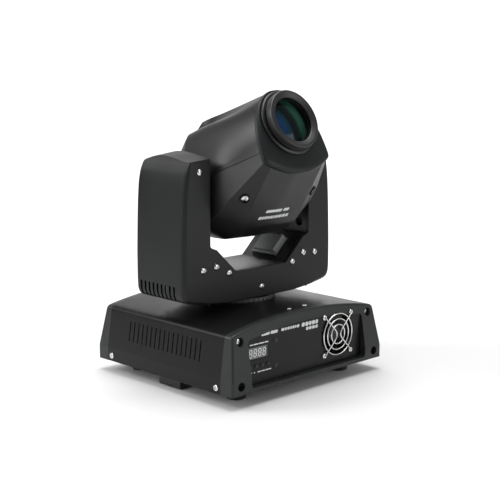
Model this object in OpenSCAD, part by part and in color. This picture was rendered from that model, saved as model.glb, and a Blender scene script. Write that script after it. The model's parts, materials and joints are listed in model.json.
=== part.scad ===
// Moving head light: a base, a yoke that pans on it and a head that tilts in the yoke.
// Millimetres. +Z is up, the control panel faces -Y, the beam leaves the head toward -Y.

/* [Overall] */
// Width of the base across its lower band
base_w = 271.5; // [240:0.5:320]
// Depth of the base, front cap to rear cap
base_d = 261; // [230:1:300]
// Height of the rubber feet below the base
feet_h = 16; // [8:1:25]
// Height of the tilt axis above the floor
tilt_z = 251; // [240:1:265]
// Tilt axis offset behind the pan axis
tilt_y = 0; // [-2:1:4]
// Beam angle above the horizontal at rest
rest_tilt = 26; // [0:1:40]

/* [Base] */
// Height of the upright lower band
band_h = 18; // [12:1:24]
// Height of the base corners above its underside
corner_h = 72; // [60:1:85]
// Inward lean of each side between band and corner
side_lean = 8; // [4:0.5:14]
// Inward lean of the front and rear faces
face_lean = 9.1; // [4:0.5:14]
// Rise of the arched top from corner to centre
arch_rise = 13; // [6:0.5:18]
// Thickness of the bent sheet cover
sheet_t = 1.6; // [1:0.2:3]
// Wall of the moulded end caps
cap_t = 3; // [2:0.5:4]
// Number of cooling slots in each side
side_slots = 17; // [5:1:19]
// Diameter of the cooling fan guard
guard_d = 54; // [40:1:58]

/* [Yoke] */
// Distance between the inner faces of the two arms
yoke_gap = 176; // [170:1:184]
// Width of the yoke across the arm covers
yoke_w = 262; // [250:1:270]
// Front face of the yoke in front of the pan axis
yoke_front = 41.2; // [38:0.2:46]
// Rear face of the beam behind the pan axis
yoke_back = 42; // [38:0.5:46]
// Rear face of the arm covers behind the pan axis
arm_back = 50; // [46:0.5:52]
// Height of the yoke's underside above the floor
yoke_z = 105; // [104:0.5:110]
// Height of the beam's top face above the floor
beam_z = 144.6; // [138:0.2:150]
// Thickness of the steel plates
plate_t = 2; // [1.5:0.5:3]

/* [Head] */
// Length from the tilt axis to the front rim
nose_len = 127.4; // [115:0.2:140]
// Height of the optical axis above the tilt axis
optic_h = 34.1; // [28:0.1:38]
// Wall of the head shells
shell_t = 2.5; // [2:0.5:3]
// Half width of the head at the tilt axis
head_half = 82; // [78:0.5:84]

/* [Show] */
// Piece to draw, or all of them

/* [Hidden] */
$fn = 64;
zb = feet_h;
hw = base_w / 2;
hd = base_d / 2;
z_band = zb + band_h;
z_corner = zb + corner_h;
cx = hw - side_lean;
arch_r = (cx * cx + arch_rise * arch_rise) / (2 * arch_rise);
arch_cz = z_corner + arch_rise - arch_r;
panel_y = -(hd - face_lean);
fan_x = 57.5;
fan_z = zb + 43.7;
button_x = [-98.6, -88.5, -78.4, -68.3];
button_z = zb + 28.8;
in_x = yoke_gap / 2;
rel_y = 109;

// ---------------------------------------------------------------- helpers

function arc_pts(x, z, r, a0, a1, n) =
    [for (i = [0:n]) [x + r * cos(a0 + (a1 - a0) * i / n), z + r * sin(a0 + (a1 - a0) * i / n)]];

// Base outline in X and Z, moved inward by i, open side down
function base_pts(i, z_low) =
    let (
        rr = arch_r - i,
        half = asin((cx - 5 - i) / rr),
        right_side = [[hw - i, z_low], [hw - i, z_band], [cx - i + 0.7, z_corner - 5]],
        arch = arc_pts(0, arch_cz, rr, 90 - half, 90 + half, 16),
        left_side = [[-cx + i - 0.7, z_corner - 5], [-hw + i, z_band], [-hw + i, z_low]]
    )
    concat(right_side, arch, left_side);

module along_y(y0, y1) {
    translate([0, y1, 0])
        rotate([90, 0, 0])
            linear_extrude(height = y1 - y0)
                children();
}

module along_x(x0, x1) {
    translate([x0, 0, 0])
        rotate([90, 0, 90])
            linear_extrude(height = x1 - x0)
                children();
}

module box(x0, x1, y0, y1, z0, z1) {
    translate([x0, y0, z0])
        cube([x1 - x0, y1 - y0, z1 - z0]);
}

module rod_x(x0, x1, y, z, r) {
    translate([x0, y, z])
        rotate([0, 90, 0])
            cylinder(r = r, h = x1 - x0);
}

module rod_y(x, y0, y1, z, r) {
    translate([x, y1, z])
        rotate([90, 0, 0])
            cylinder(r = r, h = y1 - y0);
}

module rod_z(x, y, z0, z1, r) {
    translate([x, y, z0])
        cylinder(r = r, h = z1 - z0);
}

// Recess outline of an end cap, its top following the arch, moved inward by i
module panel_shape(i) {
    rr = arch_r - 13.5 - i;
    half = asin((99 - i) / rr);
    polygon(concat(
        arc_pts(99.5 - i, zb + 10.5 + i, 4.5, -90, 0, 4),
        [[104 - i, zb + 59]],
        arc_pts(0, arch_cz, rr, 90 - half, 90 + half, 12),
        [[-104 + i, zb + 59]],
        arc_pts(-99.5 + i, zb + 10.5 + i, 4.5, 180, 270, 4)
    ));
}

module round_rect(x0, x1, z0, z1, r) {
    polygon(concat(
        arc_pts(x1 - r, z0 + r, r, -90, 0, 4),
        arc_pts(x1 - r, z1 - r, r, 0, 90, 4),
        arc_pts(x0 + r, z1 - r, r, 90, 180, 4),
        arc_pts(x0 + r, z0 + r, r, 180, 270, 4)
    ));
}

// Pan head screw with a cross recess, head toward -Y, shank toward +Y
module screw_y(x, y, z, head_r, head_h, shank_r, shank_l) {
    translate([x, y, z])
        rotate([-90, 0, 0])
            screw_body(head_r, head_h, shank_r, shank_l);
}

// Head sits on z = 0 and points down, shank goes up
module screw_body(head_r, head_h, shank_r, shank_l) {
    difference() {
        union() {
            translate([0, 0, -head_h])
                cylinder(r1 = head_r * 0.72, r2 = head_r, h = head_h, $fn = 32);
            translate([0, 0, -0.01])
                cylinder(r = shank_r, h = shank_l, $fn = 24);
        }
        for (a = [0, 90])
            rotate([0, 0, a])
                translate([-head_r * 0.5, -0.35, -head_h - 0.1])
                    cube([head_r, 0.7, head_h * 0.6]);
    }
}

// Place things built about the tilt axis: forward is -Y, height is +Z
module head_place() {
    translate([0, tilt_y, tilt_z])
        rotate([-rest_tilt, 0, 0])
            children();
}

// ---------------------------------------------------------------- base

module base_tray() {
    color("dimgray")
    difference() {
        union() {
            box(-132, 132, -108, 108, zb, zb + 2);
            for (s = [-1, 1])
                box(s * 132.1 - 2, s * 132.1 + 2, -106, 106, zb, zb + 15);
        }
        for (s = [-1, 1]) {
            for (y = [-101.5, 101.5])
                rod_x(s * 131 - 4, s * 131 + 4, y, zb + 7.5, 1.7);
            for (y = [-92, 92])
                rod_z(s * 93.8, y, zb - 1, zb + 3, 3.2);
            for (y = [-12, 12])
                rod_z(s * 104, y, zb - 1, zb + 3, 4);
        }
        for (i = [-3:3])
            box(i * 14 - 3, i * 14 + 3, -60, -20, zb - 1, zb + 3);
    }
}

module base_cover() {
    color("#2b2c2e")
    difference() {
        along_y(-rel_y, rel_y)
            polygon(base_pts(0, zb + 0.2));
        along_y(-rel_y - 1, rel_y + 1)
            polygon(base_pts(sheet_t, zb - 1));
        for (s = [-1, 1]) {
            for (i = [0:side_slots - 1])
                box(s * 131 - 9, s * 131 + 9, -70.5 + 8.5 * i, -67.5 + 8.5 * i, zb + 33, zb + 59);
            for (y = [-101.5, 101.5])
                rod_x(s * 134 - 5, s * 134 + 5, y, zb + 7.5, 1.7);
        }
        rod_z(0, 0, 60, 120, 47);
        for (s = [-1, 1])
            rod_z(s * 14, -104, 90, 120, 1.6);
    }
}

// Side outline of an end cap in Y and Z, front face at -Y, moved inward by i
function cap_pts(i) = [
    [-hd + i, zb],
    [-hd + i, z_band],
    [-hd + i + face_lean, z_corner],
    [-hd + i + face_lean + 2.3, z_corner + 14],
    [-rel_y - 0.1, z_corner + 14],
    [-rel_y - 0.1, zb]
];

module cap_shell() {
    difference() {
        union() {
            difference() {
                intersection() {
                    along_y(-hd - 1, -rel_y - 0.1)
                        polygon(base_pts(0, zb));
                    along_x(-hw - 1, hw + 1)
                        polygon(cap_pts(0));
                }
                intersection() {
                    along_y(-hd - 1, -rel_y + 1)
                        polygon(base_pts(cap_t, zb + 2.5));
                    along_x(-hw + 1, hw - 1)
                        polygon(cap_pts(cap_t));
                }
            }
            intersection() {
                along_y(-hd - 1, -115)
                    panel_shape(-2.6);
                along_x(-hw, hw)
                    polygon(cap_pts(0.5));
                along_y(-hd, -112)
                    polygon(base_pts(1, zb));
            }
            for (s = [-1, 1]) {
                intersection() {
                    rod_y(s * 116, -hd, -rel_y - 0.5, zb + 63.5, 8);
                    along_x(-hw, hw)
                        polygon(cap_pts(0.5));
                    along_y(-hd, -rel_y)
                        polygon(base_pts(0.5, zb));
                }
                intersection() {
                    rod_y(s * 121, -hd, -rel_y - 0.5, zb + 11.5, 8);
                    along_x(-hw, hw)
                        polygon(cap_pts(0.5));
                }
            }
        }
        along_y(-hd - 2, panel_y + 2.2)
            panel_shape(0);
        along_y(panel_y + 2, -100)
            panel_shape(1.2);
        for (s = [-1, 1]) {
            rod_y(s * 116, -hd - 1, -117.5, zb + 63.5, 5.6);
            rod_y(s * 116, -hd - 1, -rel_y + 1, zb + 63.5, 2);
            rod_y(s * 121, -hd - 1, -117.5, zb + 11.5, 5.6);
            rod_y(s * 121, -hd - 1, -rel_y + 1, zb + 11.5, 2);
        }
    }
}

module front_end_cap() {
    color("#3a3c3f")
    difference() {
        cap_shell();
        box(fan_x - 30.3, fan_x + 30.3, panel_y + 2.1, -100, fan_z - 30.3, fan_z + 30.3);
        rod_y(fan_x, -hd - 1, panel_y + 0.1, fan_z, guard_d / 2 + 1.4);
        for (a = [45, 135]) {
            rod_y(fan_x + 35.36 * cos(a), -hd - 1, panel_y + 0.1, fan_z + 35.36 * sin(a), 4);
            rod_y(fan_x + 35.36 * cos(a), panel_y - 1, panel_y + 3, fan_z + 35.36 * sin(a), 1.8);
        }
    }
}

module rear_end_cap() {
    color("#3a3c3f")
        mirror([0, 1, 0])
            cap_shell();
}

module front_panel() {
    color("#151618")
    difference() {
        along_y(panel_y, panel_y + 2.1)
            panel_shape(0.2);
        box(-101.6, -66.4, panel_y - 1, panel_y + 3, zb + 37.2, zb + 52.8);
        for (x = button_x)
            rod_y(x, panel_y - 1, panel_y + 3, button_z, 2.4);
        rod_y(fan_x, panel_y - 1, panel_y + 3, fan_z, 28.5);
        for (a = [45:90:315])
            rod_y(fan_x + 35.36 * cos(a), panel_y - 1, panel_y + 3, fan_z + 35.36 * sin(a), 1.8);
        for (z = [23.3, 55.6])
            rod_y(-55, panel_y - 1, panel_y + 3, zb + z, 1.6);
    }
}

module display_module() {
    color("#8d9396")
    union() {
        box(-101.3, -66.7, panel_y + 0.5, panel_y + 6, zb + 37.5, zb + 52.5);
        box(-102.5, -65.5, panel_y + 2.3, panel_y + 6, zb + 36.5, zb + 53.5);
        for (x = [-98, -70])
            box(x - 1, x + 1, panel_y + 5.9, panel_y + 8.9, zb + 44, zb + 46);
    }
}

module push_button(x) {
    union() {
        rod_y(x, panel_y - 1.4, panel_y + 3, button_z, 2.1);
        rod_y(x, panel_y + 3, panel_y + 4.4, button_z, 3.2);
    }
}

module button_menu() {
    color("#2f3133")
        push_button(button_x[0]);
}

module button_down() {
    color("#2f3133")
        push_button(button_x[1]);
}

module button_up() {
    color("#2f3133")
        push_button(button_x[2]);
}

module button_enter() {
    color("#2f3133")
        push_button(button_x[3]);
}

module control_board() {
    color("#1c5a36")
    difference() {
        union() {
            box(-104, -48, panel_y + 9, panel_y + 10.6, zb + 16, zb + 59);
            for (x = button_x)
                box(x - 3, x + 3, panel_y + 6, panel_y + 9, button_z - 3, button_z + 3);
            box(-80, -62, panel_y + 10.6, panel_y + 12, zb + 20, zb + 30);
        }
        for (z = [23.3, 55.6])
            rod_y(-55, panel_y, panel_y + 14, zb + z, 1.6);
    }
}

module panel_screws() {
    color("silver") {
        for (z = [23.3, 55.6])
            screw_y(-55, panel_y - 0.02, zb + z, 2.8, 1.6, 1.45, 14);
        for (a = [45:90:315])
            screw_y(fan_x + 35.36 * cos(a), panel_y - 1.9, fan_z + 35.36 * sin(a), 3.4, 1.8, 1.6, 18);
    }
}

module fan_frame() {
    color("#202124")
    difference() {
        union() {
            difference() {
                box(fan_x - 30, fan_x + 30, panel_y + 2.3, panel_y + 17, fan_z - 30, fan_z + 30);
                rod_y(fan_x, panel_y, panel_y + 20, fan_z, 27.6);
            }
            for (a = [0:90:270])
                translate([fan_x, panel_y + 15.5, fan_z])
                    rotate([0, a + 20, 0])
                        translate([8, -1.5, -1.5])
                            cube([21, 3, 3]);
            rod_y(fan_x, panel_y + 14, panel_y + 17, fan_z, 11);
        }
        for (a = [45:90:315])
            rod_y(fan_x + 35.36 * cos(a), panel_y, panel_y + 20, fan_z + 35.36 * sin(a), 1.8);
        rod_y(fan_x, panel_y + 10, panel_y + 16, fan_z, 1.55);
    }
}

module base_fan_rotor() {
    color("#2c2d30")
    union() {
        rod_y(fan_x, panel_y + 4, panel_y + 13.6, fan_z, 11);
        rod_y(fan_x, panel_y + 13, panel_y + 15.9, fan_z, 1.5);
        for (a = [0:51.43:350])
            translate([fan_x, panel_y + 8.8, fan_z])
                rotate([0, a, 0])
                    translate([10, 0, 0])
                        rotate([38, 0, 0])
                            translate([0, -0.6, -5.2])
                                cube([16.2, 1.2, 10.4]);
    }
}

module wire(p, q, r) {
    d = q - p;
    l = norm(d);
    translate(p)
        rotate([0, acos(d[2] / l), atan2(d[1], d[0])])
            cylinder(r = r, h = l, $fn = 16);
}

module fan_guard() {
    y = panel_y - 2.12;
    color("silver")
    translate([fan_x, 0, fan_z])
    union() {
        for (r = [12.5, 20, guard_d / 2])
            translate([0, y, 0])
                rotate([90, 0, 0])
                    rotate_extrude($fn = 64)
                        translate([r, 0])
                            circle(r = 0.9, $fn = 16);
        for (s = [-1, 1]) {
            wire([s * 3, y + 1.2, -7], [s * 3, y + 1.2, 7], 0.9);
            for (t = [-1, 1]) {
                wire([s * 3, y + 1.2, t * 7], [s * 22.9, y + 1.2, t * 22.9], 0.9);
                translate([s * 3, y + 1.2, t * 7])
                    sphere(r = 0.9, $fn = 16);
            }
        }
        for (a = [45:90:315])
            translate([35.36 * cos(a), y + 1.2, 35.36 * sin(a)])
                rotate([90, 0, 0])
                    rotate_extrude($fn = 32)
                        translate([3.2, 0])
                            circle(r = 0.9, $fn = 16);
    }
}

module cap_screw_set() {
    for (s = [-1, 1]) {
        screw_y(s * 116, -117.52, zb + 63.5, 4.4, 2.6, 1.9, 8);
        screw_y(s * 121, -117.52, zb + 11.5, 4.4, 2.6, 1.9, 8);
    }
}

module base_screws() {
    color("silver") {
        cap_screw_set();
        mirror([0, 1, 0])
            cap_screw_set();
        for (s = [-1, 1]) {
            for (y = [-101.5, 101.5])
                translate([s * (hw + 0.02), y, zb + 7.5])
                    rotate([0, -90 * s, 0])
                        screw_body(4, 1.6, 1.6, 7);
            translate([s * 14, -104, z_corner + arch_rise - 0.1])
                rotate([180, 0, 0])
                    screw_body(3.2, 1.6, 1.5, 6);
        }
    }
}

module rear_panel() {
    color("#1b1c1e")
    difference() {
        along_y(-panel_y - 2.1, -panel_y)
            panel_shape(0.2);
        box(58, 87, -panel_y - 3, -panel_y + 1, zb + 18, zb + 40);
        for (x = [-70, -35])
            rod_y(x, -panel_y - 3, -panel_y + 1, zb + 33, 11.6);
    }
}

module power_inlet() {
    color("#202020")
    difference() {
        union() {
            box(58.3, 86.7, -panel_y - 24, -panel_y + 0.1, zb + 18.3, zb + 39.7);
            box(55, 90, -panel_y, -panel_y + 2.2, zb + 15.5, zb + 42.5);
        }
        box(60.5, 84.5, -panel_y - 15, -panel_y + 3, zb + 20.5, zb + 37.5);
    }
    color("#c8b060")
        for (x = [65.5, 72.5, 79.5])
            box(x - 1, x + 1, -panel_y - 15.1, -panel_y - 1.5, zb + 26, zb + 32);
}

module round_socket(x, pins) {
    union() {
        difference() {
            union() {
                rod_y(x, -panel_y - 22, -panel_y + 0.1, zb + 33, 11.3);
                box(x - 13, x + 13, -panel_y, -panel_y + 2, zb + 18, zb + 48);
            }
            rod_y(x, -panel_y - 14, -panel_y + 3, zb + 33, 9.4);
            for (z = [21, 45])
                rod_y(x - 9.6, -panel_y - 1, -panel_y + 3, zb + z, 1.4);
        }
        if (pins)
            for (a = [30, 150, 270])
                rod_y(x + 5 * cos(a), -panel_y - 14.1, -panel_y - 2, zb + 33 + 5 * sin(a), 1.2);
        else
            difference() {
                rod_y(x, -panel_y - 14.1, -panel_y - 8, zb + 33, 7.6);
                for (a = [30, 150, 270])
                    rod_y(x + 4.4 * cos(a), -panel_y - 12, -panel_y, zb + 33 + 4.4 * sin(a), 1.5);
            }
    }
}

module data_in_socket() {
    color("#303234")
        round_socket(-35, true);
}

module data_out_socket() {
    color("#303234")
        round_socket(-70, false);
}

module rubber_feet() {
    color("#101010")
        for (sx = [-1, 1])
            for (sy = [-1, 1]) {
                rod_z(sx * 93.8, sy * 92, 0, zb - 0.02, 12.5);
                rod_z(sx * 93.8, sy * 92, zb - 1, zb + 5, 3);
            }
}

module omega_bracket() {
    color("#35373a")
    difference() {
        union() {
            box(-122.5, 122.5, -20.3, 20.3, zb - 3.2, zb - 0.2);
            for (s = [-1, 1])
                box(s * 121 - 1.5, s * 121 + 1.5, -20.3, 20.3, 1, zb - 0.3);
            for (s = [-1, 1])
                box(s * 108 - 14.5, s * 108 + 14.5, -20.3, 20.3, 1, 4);
        }
        for (s = [-1, 1])
            for (y = [-12, 12])
                rod_z(s * 104, y, 5, zb + 1, 4);
        for (s = [-1, 1])
            for (y = [-12, 12])
                rod_z(s * 104, y, 0, 5, 8);
        rod_z(0, 0, 5, zb + 1, 6.5);
    }
}

module bracket_locks() {
    color("#b9bcc0")
        for (s = [-1, 1])
            for (y = [-12, 12]) {
                rod_z(s * 104, y, zb - 6.2, zb - 3.25, 6.5);
                rod_z(s * 104, y, zb - 4, zb + 5, 3.8);
                box(s * 104 - 6, s * 104 + 6, y - 1.6, y + 1.6, zb + 2.3, zb + 5);
            }
}

module power_supply() {
    color("#a8abad")
    difference() {
        box(58, 116, -62, 66, zb + 6, zb + 44);
        box(60, 114, -60, 64, zb + 8, zb + 46);
    }
    color("#1c5a36")
        box(62, 112, -58, 62, zb + 12, zb + 14);
    color("#d8b030")
        box(70, 100, -30, 10, zb + 14, zb + 36);
    color("#303030")
        for (y = [26, 48])
            rod_z(86, y, zb + 14, zb + 38, 9);
    color("#a8abad")
        for (x = [62, 112])
            for (y = [-58, 62])
                rod_z(x, y, zb + 2, zb + 12.1, 3);
}

module base_bridge() {
    color("#9a9c9e")
    difference() {
        union() {
            box(-52, 52, -62, 62, 75, 77);
            for (s = [-1, 1]) {
                box(-40, 40, s * 61 - 1, s * 61 + 1, 18, 77);
                box(-40, 40, s * 68 - 8, s * 68 + 8, 18.02, 20);
            }
        }
        rod_z(0, 0, 70, 80, 24);
        for (s = [-1, 1])
            for (x = [-30, 30])
                rod_z(x, s * 70, 17, 22, 2.2);
    }
}

module pan_bearing() {
    color("#55585b")
    difference() {
        union() {
            rod_z(0, 0, 77.02, 104.6, 45.2);
            for (i = [0:39])
                rotate([0, 0, i * 9])
                    translate([44.6, -1, 94])
                        cube([1.8, 2, 10.4]);
            rod_z(0, 0, 74, 78, 23.8);
        }
        difference() {
            rod_z(0, 0, 81, 106, 42.8);
            rod_z(0, 0, 80, 99.8, 25);
        }
        rod_z(0, 0, 70, 110, 17.05);
    }
}

module pan_motor() {
    color("#6f7275")
    difference() {
        union() {
            box(-93, -51, -21, 21, 18.05, 56);
            rod_z(-72, 0, 56, 57.5, 11);
            rod_z(-72, 0, 57, 70, 2.5);
        }
        for (x = [-1, 1])
            for (y = [-1, 1])
                translate([-72 + x * 21, y * 21, 10])
                    rotate([0, 0, 45])
                        cube([7, 7, 120], center = true);
    }
}

module toothed_wheel(r, bore, w, n) {
    difference() {
        union() {
            cylinder(r = r, h = w);
            cylinder(r = r + 1.6, h = 1);
            translate([0, 0, w - 1])
                cylinder(r = r + 1.6, h = 1);
        }
        for (i = [0:n - 1])
            rotate([0, 0, i * 360 / n])
                translate([r, 0, w / 2])
                    cube([1.6, 1.1, w - 2.02], center = true);
        translate([0, 0, -1])
            cylinder(r = bore, h = w + 2);
    }
}

module pan_motor_pulley() {
    color("#c9cbcd")
        translate([-72, 0, 60])
            toothed_wheel(10, 2.53, 9, 16);
}

module pan_pulley() {
    color("#c9cbcd")
    union() {
        translate([0, 0, 60])
            difference() {
                toothed_wheel(40, 17.02, 9, 64);
                for (a = [0:60:300])
                    rotate([0, 0, a])
                        translate([28.5, 0, -1])
                            cylinder(r = 6.5, h = 12, $fn = 32);
            }
        difference() {
            rod_z(0, 0, 68.5, 72.5, 22);
            rod_z(0, 0, 60, 80, 17.02);
        }
    }
}

module loop_belt(r0, r1, dist, w, t) {
    difference() {
        hull() {
            cylinder(r = r0 + t, h = w, $fn = 48);
            translate([dist, 0, 0])
                cylinder(r = r1 + t, h = w, $fn = 48);
        }
        translate([0, 0, -1])
            hull() {
                cylinder(r = r0, h = w + 2, $fn = 48);
                translate([dist, 0, 0])
                    cylinder(r = r1, h = w + 2, $fn = 48);
            }
    }
}

module pan_belt() {
    color("#181818")
        translate([0, 0, 61.4])
            loop_belt(40.4, 10.4, -72, 6.2, 1.1);
}

module pan_spindle() {
    color("#b4b6b8")
    difference() {
        union() {
            rod_z(0, 0, 58.5, 108, 17);
            rod_z(0, 0, 100.2, 104.95, 24);
            rod_z(0, 0, 107.02, 110, 30);
        }
        rod_z(0, 0, 50, 120, 12);
        for (a = [45:90:315])
            rod_z(24 * cos(a), 24 * sin(a), 106, 112, 2.2);
    }
}

// ---------------------------------------------------------------- yoke

// Half outline of the yoke seen from the front: outer edge from the bottom centre to the top
function yoke_outer(i) = [
    [0, yoke_z + i], [60, yoke_z + i], [90, yoke_z + 2.7 + i], [112, yoke_z + 5.8 + i],
    [124.6, yoke_z + 8.4 + i], [yoke_w / 2 - 0.8 - i, yoke_z + 13 + i],
    [yoke_w / 2 + 1.2 - i, yoke_z + 20 + i], [yoke_w / 2 + 1.4 - i, yoke_z + 56],
    [yoke_w / 2 + 0.5 - i, yoke_z + 93], [yoke_w / 2 - 0.6 - i, yoke_z + 122],
    [yoke_w / 2 - 2.5 - i, yoke_z + 150], [yoke_w / 2 - 5 - i, yoke_z + 166],
    [yoke_w / 2 - 8.5 - i, yoke_z + 177 - i]
];

// Half outline of the inside of the U, from the beam's middle to the arm, moved inward by i
function yoke_inner(i, z_top) = [
    [in_x - i, z_top], [in_x - i, beam_z + 34.6 + i * 0.3], [77.4 - i * 0.4, beam_z + 30.9 + i],
    [44.8, beam_z + i * 1.35], [0, beam_z + i * 1.35]
];

// One closed outline from its right half; the first and last points lie on the centre line
module mirror_poly(pts) {
    polygon(concat(pts, [for (k = [len(pts) - 2:-1:1]) [-pts[k][0], pts[k][1]]]));
}

// The U as a solid outline, its inner edge moved down by d
module yoke_u(i, d, z_top) {
    mirror_poly(concat(
        yoke_outer(i),
        [[yoke_w / 2 - 13 - i, z_top - i], [in_x + d, z_top - i]],
        [[in_x + d, beam_z + 34.6 - d * 0.3], [77.4 + d * 0.4, beam_z + 30.9 - d],
         [44.8, beam_z - d * 1.35], [0, beam_z - d * 1.35]]
    ));
}

// Side outline of an arm in Y and Z, moved inward by i
function arm_side(i) = concat(
    [[-yoke_front + i, yoke_z + i], [-yoke_front + i, yoke_z + 182.8 - i]],
    [for (y = [-30, -18, -6, 6, 18, 30]) [y, yoke_z + 189 - i - (y - 4) * (y - 4) / 290]],
    [[37, yoke_z + 184.2 - i], [arm_back - 3.5 - i * 0.6, yoke_z + 180 - i]],
    [[arm_back - 0.7 - i, yoke_z + 166 - i * 0.5],
     [arm_back - i, yoke_z + 120], [arm_back - i, yoke_z + 40], [arm_back - 3 - i, yoke_z + i]]
);

module yoke_trough() {
    color("#4a4d50")
    difference() {
        along_y(-37, 40)
            difference() {
                mirror_poly([
                    [0, beam_z], [44.8, beam_z], [77.4, beam_z + 30.9], [in_x, beam_z + 34.6],
                    [in_x, yoke_z + 172], [in_x + plate_t, yoke_z + 172],
                    [in_x + plate_t, beam_z + 34.6 - plate_t], [77.4 + 0.9, beam_z + 30.9 - plate_t],
                    [44.8 + 0.8, beam_z - plate_t], [0, beam_z - plate_t]
                ]);
            }
        for (s = [-1, 1]) {
            rod_x(s * 89 - 3, s * 89 + 3, tilt_y, tilt_z, 13.05);
            for (z = [yoke_z + 88])
                rod_x(s * 89 - 3, s * 89 + 3, tilt_y - 24, z, 6);
        }
        rod_z(-24, 22, beam_z - 5, beam_z + 3, 9);
    }
}

module yoke_bottom_plate() {
    color("#4a4d50")
    difference() {
        along_y(-37, 40)
            mirror_poly([
                [0, yoke_z], [60, yoke_z], [87.6, yoke_z + 2.5],
                [87.6, yoke_z + 2.5 + plate_t], [60, yoke_z + plate_t], [0, yoke_z + plate_t]
            ]);
        rod_z(0, 0, yoke_z - 1, yoke_z + 4, 17.2);
        for (a = [45:90:315])
            rod_z(24 * cos(a), 24 * sin(a), yoke_z - 1, yoke_z + 4, 2.2);
    }
}

front_screws = [[100.4, 136], [78.5, 137.9], [57.2, 127.9], [105.5, 258]];

module yoke_front_cover() {
    color("#2e3033")
    difference() {
        intersection() {
            along_y(-yoke_front, -37.1)
                yoke_u(0, 0.2, yoke_z + 184.5);
            translate([0, 0, 90])
                linear_extrude(height = 220)
                    polygon([
                        [-yoke_w / 2 + 3.5, -yoke_front], [yoke_w / 2 - 3.5, -yoke_front],
                        [yoke_w / 2 + 1.5, -37.05], [-yoke_w / 2 - 1.5, -37.05]
                    ]);
        }
        for (s = [-1, 1])
            for (p = front_screws) {
                rod_y(s * p[0], -45, -35, p[1] + 16, 1.8);
                rod_y(s * p[0], -45, -yoke_front + 1, p[1] + 16, 4.6);
            }
        rod_y(0, -45, -35, 118.4, 1.8);
        rod_y(0, -45, -yoke_front + 1, 118.4, 4.6);
    }
}

module yoke_rear_cover() {
    color("#2e3033")
    difference() {
        along_y(40.1, yoke_back)
            mirror_poly([
                [0, yoke_z], [60, yoke_z], [87.9, yoke_z + 2.6],
                [87.9, beam_z + 34.2], [77.4, beam_z + 30.7], [44.8, beam_z - 0.2], [0, beam_z - 0.2]
            ]);
        for (s = [-1, 1])
            for (p = [[78.5, 153.9], [57.2, 143.9]])
                rod_y(s * p[0], 38, 45, p[1], 1.8);
        for (i = [-4:4])
            box(i * 7 - 1.5, i * 7 + 1.5, 38, 45, 116, 132);
    }
}

module arm_cover() {
    difference() {
        intersection() {
            along_y(-36.9, arm_back + 1)
                yoke_u(0, 0.3, yoke_z + 190);
            along_x(in_x + 0.3, yoke_w / 2 + 3)
                polygon(arm_side(0));
        }
        intersection() {
            along_y(-40, 40.2)
                polygon(concat(
                    [for (p = yoke_outer(2.4)) if (p[0] > 85) p],
                    [[yoke_w / 2 - 15.4, yoke_z + 187.6], [in_x - 1, yoke_z + 187.6]],
                    [[in_x - 1, yoke_z + 5.5]]
                ));
            along_x(in_x - 1, yoke_w / 2 + 3)
                polygon(arm_side(2.4));
        }
        intersection() {
            along_y(40, arm_back - 2.4)
                polygon(concat(
                    [for (p = yoke_outer(2.4)) if (p[0] > 91) p],
                    [[yoke_w / 2 - 15.4, yoke_z + 187.6], [in_x + 2.7, yoke_z + 187.6]],
                    [[in_x + 2.7, yoke_z + 5.5]]
                ));
            along_x(in_x + 2.7, yoke_w / 2 + 3)
                polygon(arm_side(2.4));
        }
        for (i = [0:8])
            translate([yoke_w / 2 - 16, 39.2 - 7.9 * i, yoke_z + 9.5])
                cube([20, 3.6, 19.5 + i * 0.3]);
    }
}

module right_arm_cover() {
    color("#303236")
        arm_cover();
}

module left_arm_cover() {
    color("#303236")
        mirror([1, 0, 0])
            arm_cover();
}

module yoke_screws() {
    color("silver") {
        for (s = [-1, 1]) {
            for (p = front_screws)
                screw_y(s * p[0], -yoke_front + 0.98, p[1] + 16, 4.2, 2.4, 1.7, 5.5);
            for (p = [[78.5, 153.9], [57.2, 143.9]])
                mirror([0, 1, 0])
                    screw_y(s * p[0], -yoke_back - 0.02, p[1], 4.2, 2.4, 1.7, 5.5);
        }
        screw_y(0, -yoke_front + 0.98, 118.4, 4.2, 2.4, 1.7, 5.5);
    }
    color("#101010")
        rod_z(9, -39.2, 101.9, yoke_z - 0.02, 1.8);
}

module cable_clamp() {
    color("#777a7d")
    translate([61.1, 6, beam_z + 15.5])
        rotate([0, -43.5, 0])
            difference() {
                union() {
                    box(-15, 15, -24, 22, 0.1, 2.1);
                    box(-13, 13, -20, 16, 2, 8);
                    box(-13, 13, -24, -20, 2, 11);
                }
                box(-9, 9, -21, 17, 3.5, 6.5);
                for (y = [-22, 19])
                    for (x = [-11, 11])
                        rod_z(x, y, -1, 3, 1.6);
            }
}

module tilt_bearings() {
    color("#aeb1b4")
        for (s = [-1, 1])
            difference() {
                union() {
                    rod_x(s * (in_x + 3.55) - 3.45, s * (in_x + 3.55) + 3.45, tilt_y, tilt_z, 13);
                    rod_x(s * (in_x + 3.025) - 0.975, s * (in_x + 3.025) + 0.975, tilt_y, tilt_z, 16);
                }
                rod_x(s * in_x - 10, s * in_x + 10, tilt_y, tilt_z, 8.05);
            }
}

tm_z = 136;

module tilt_motor() {
    color("#6f7275")
    union() {
        difference() {
            box(62, 95, tilt_y - 21, tilt_y + 21, tm_z - 21, tm_z + 21);
            for (y = [-1, 1])
                for (z = [-1, 1])
                    translate([70, tilt_y + y * 21, tm_z + z * 21])
                        rotate([45, 0, 0])
                            cube([120, 7, 7], center = true);
        }
        difference() {
            box(95, 97, tilt_y - 26, tilt_y + 26, 118, 190);
            rod_x(90, 99, tilt_y, 175, 9);
        }
        for (y = [-18, 18])
            rod_x(in_x + 2.02, 95.5, tilt_y + y, 185, 3.5);
        rod_x(96, 107, tilt_y, tm_z, 2.5);
    }
}

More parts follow.
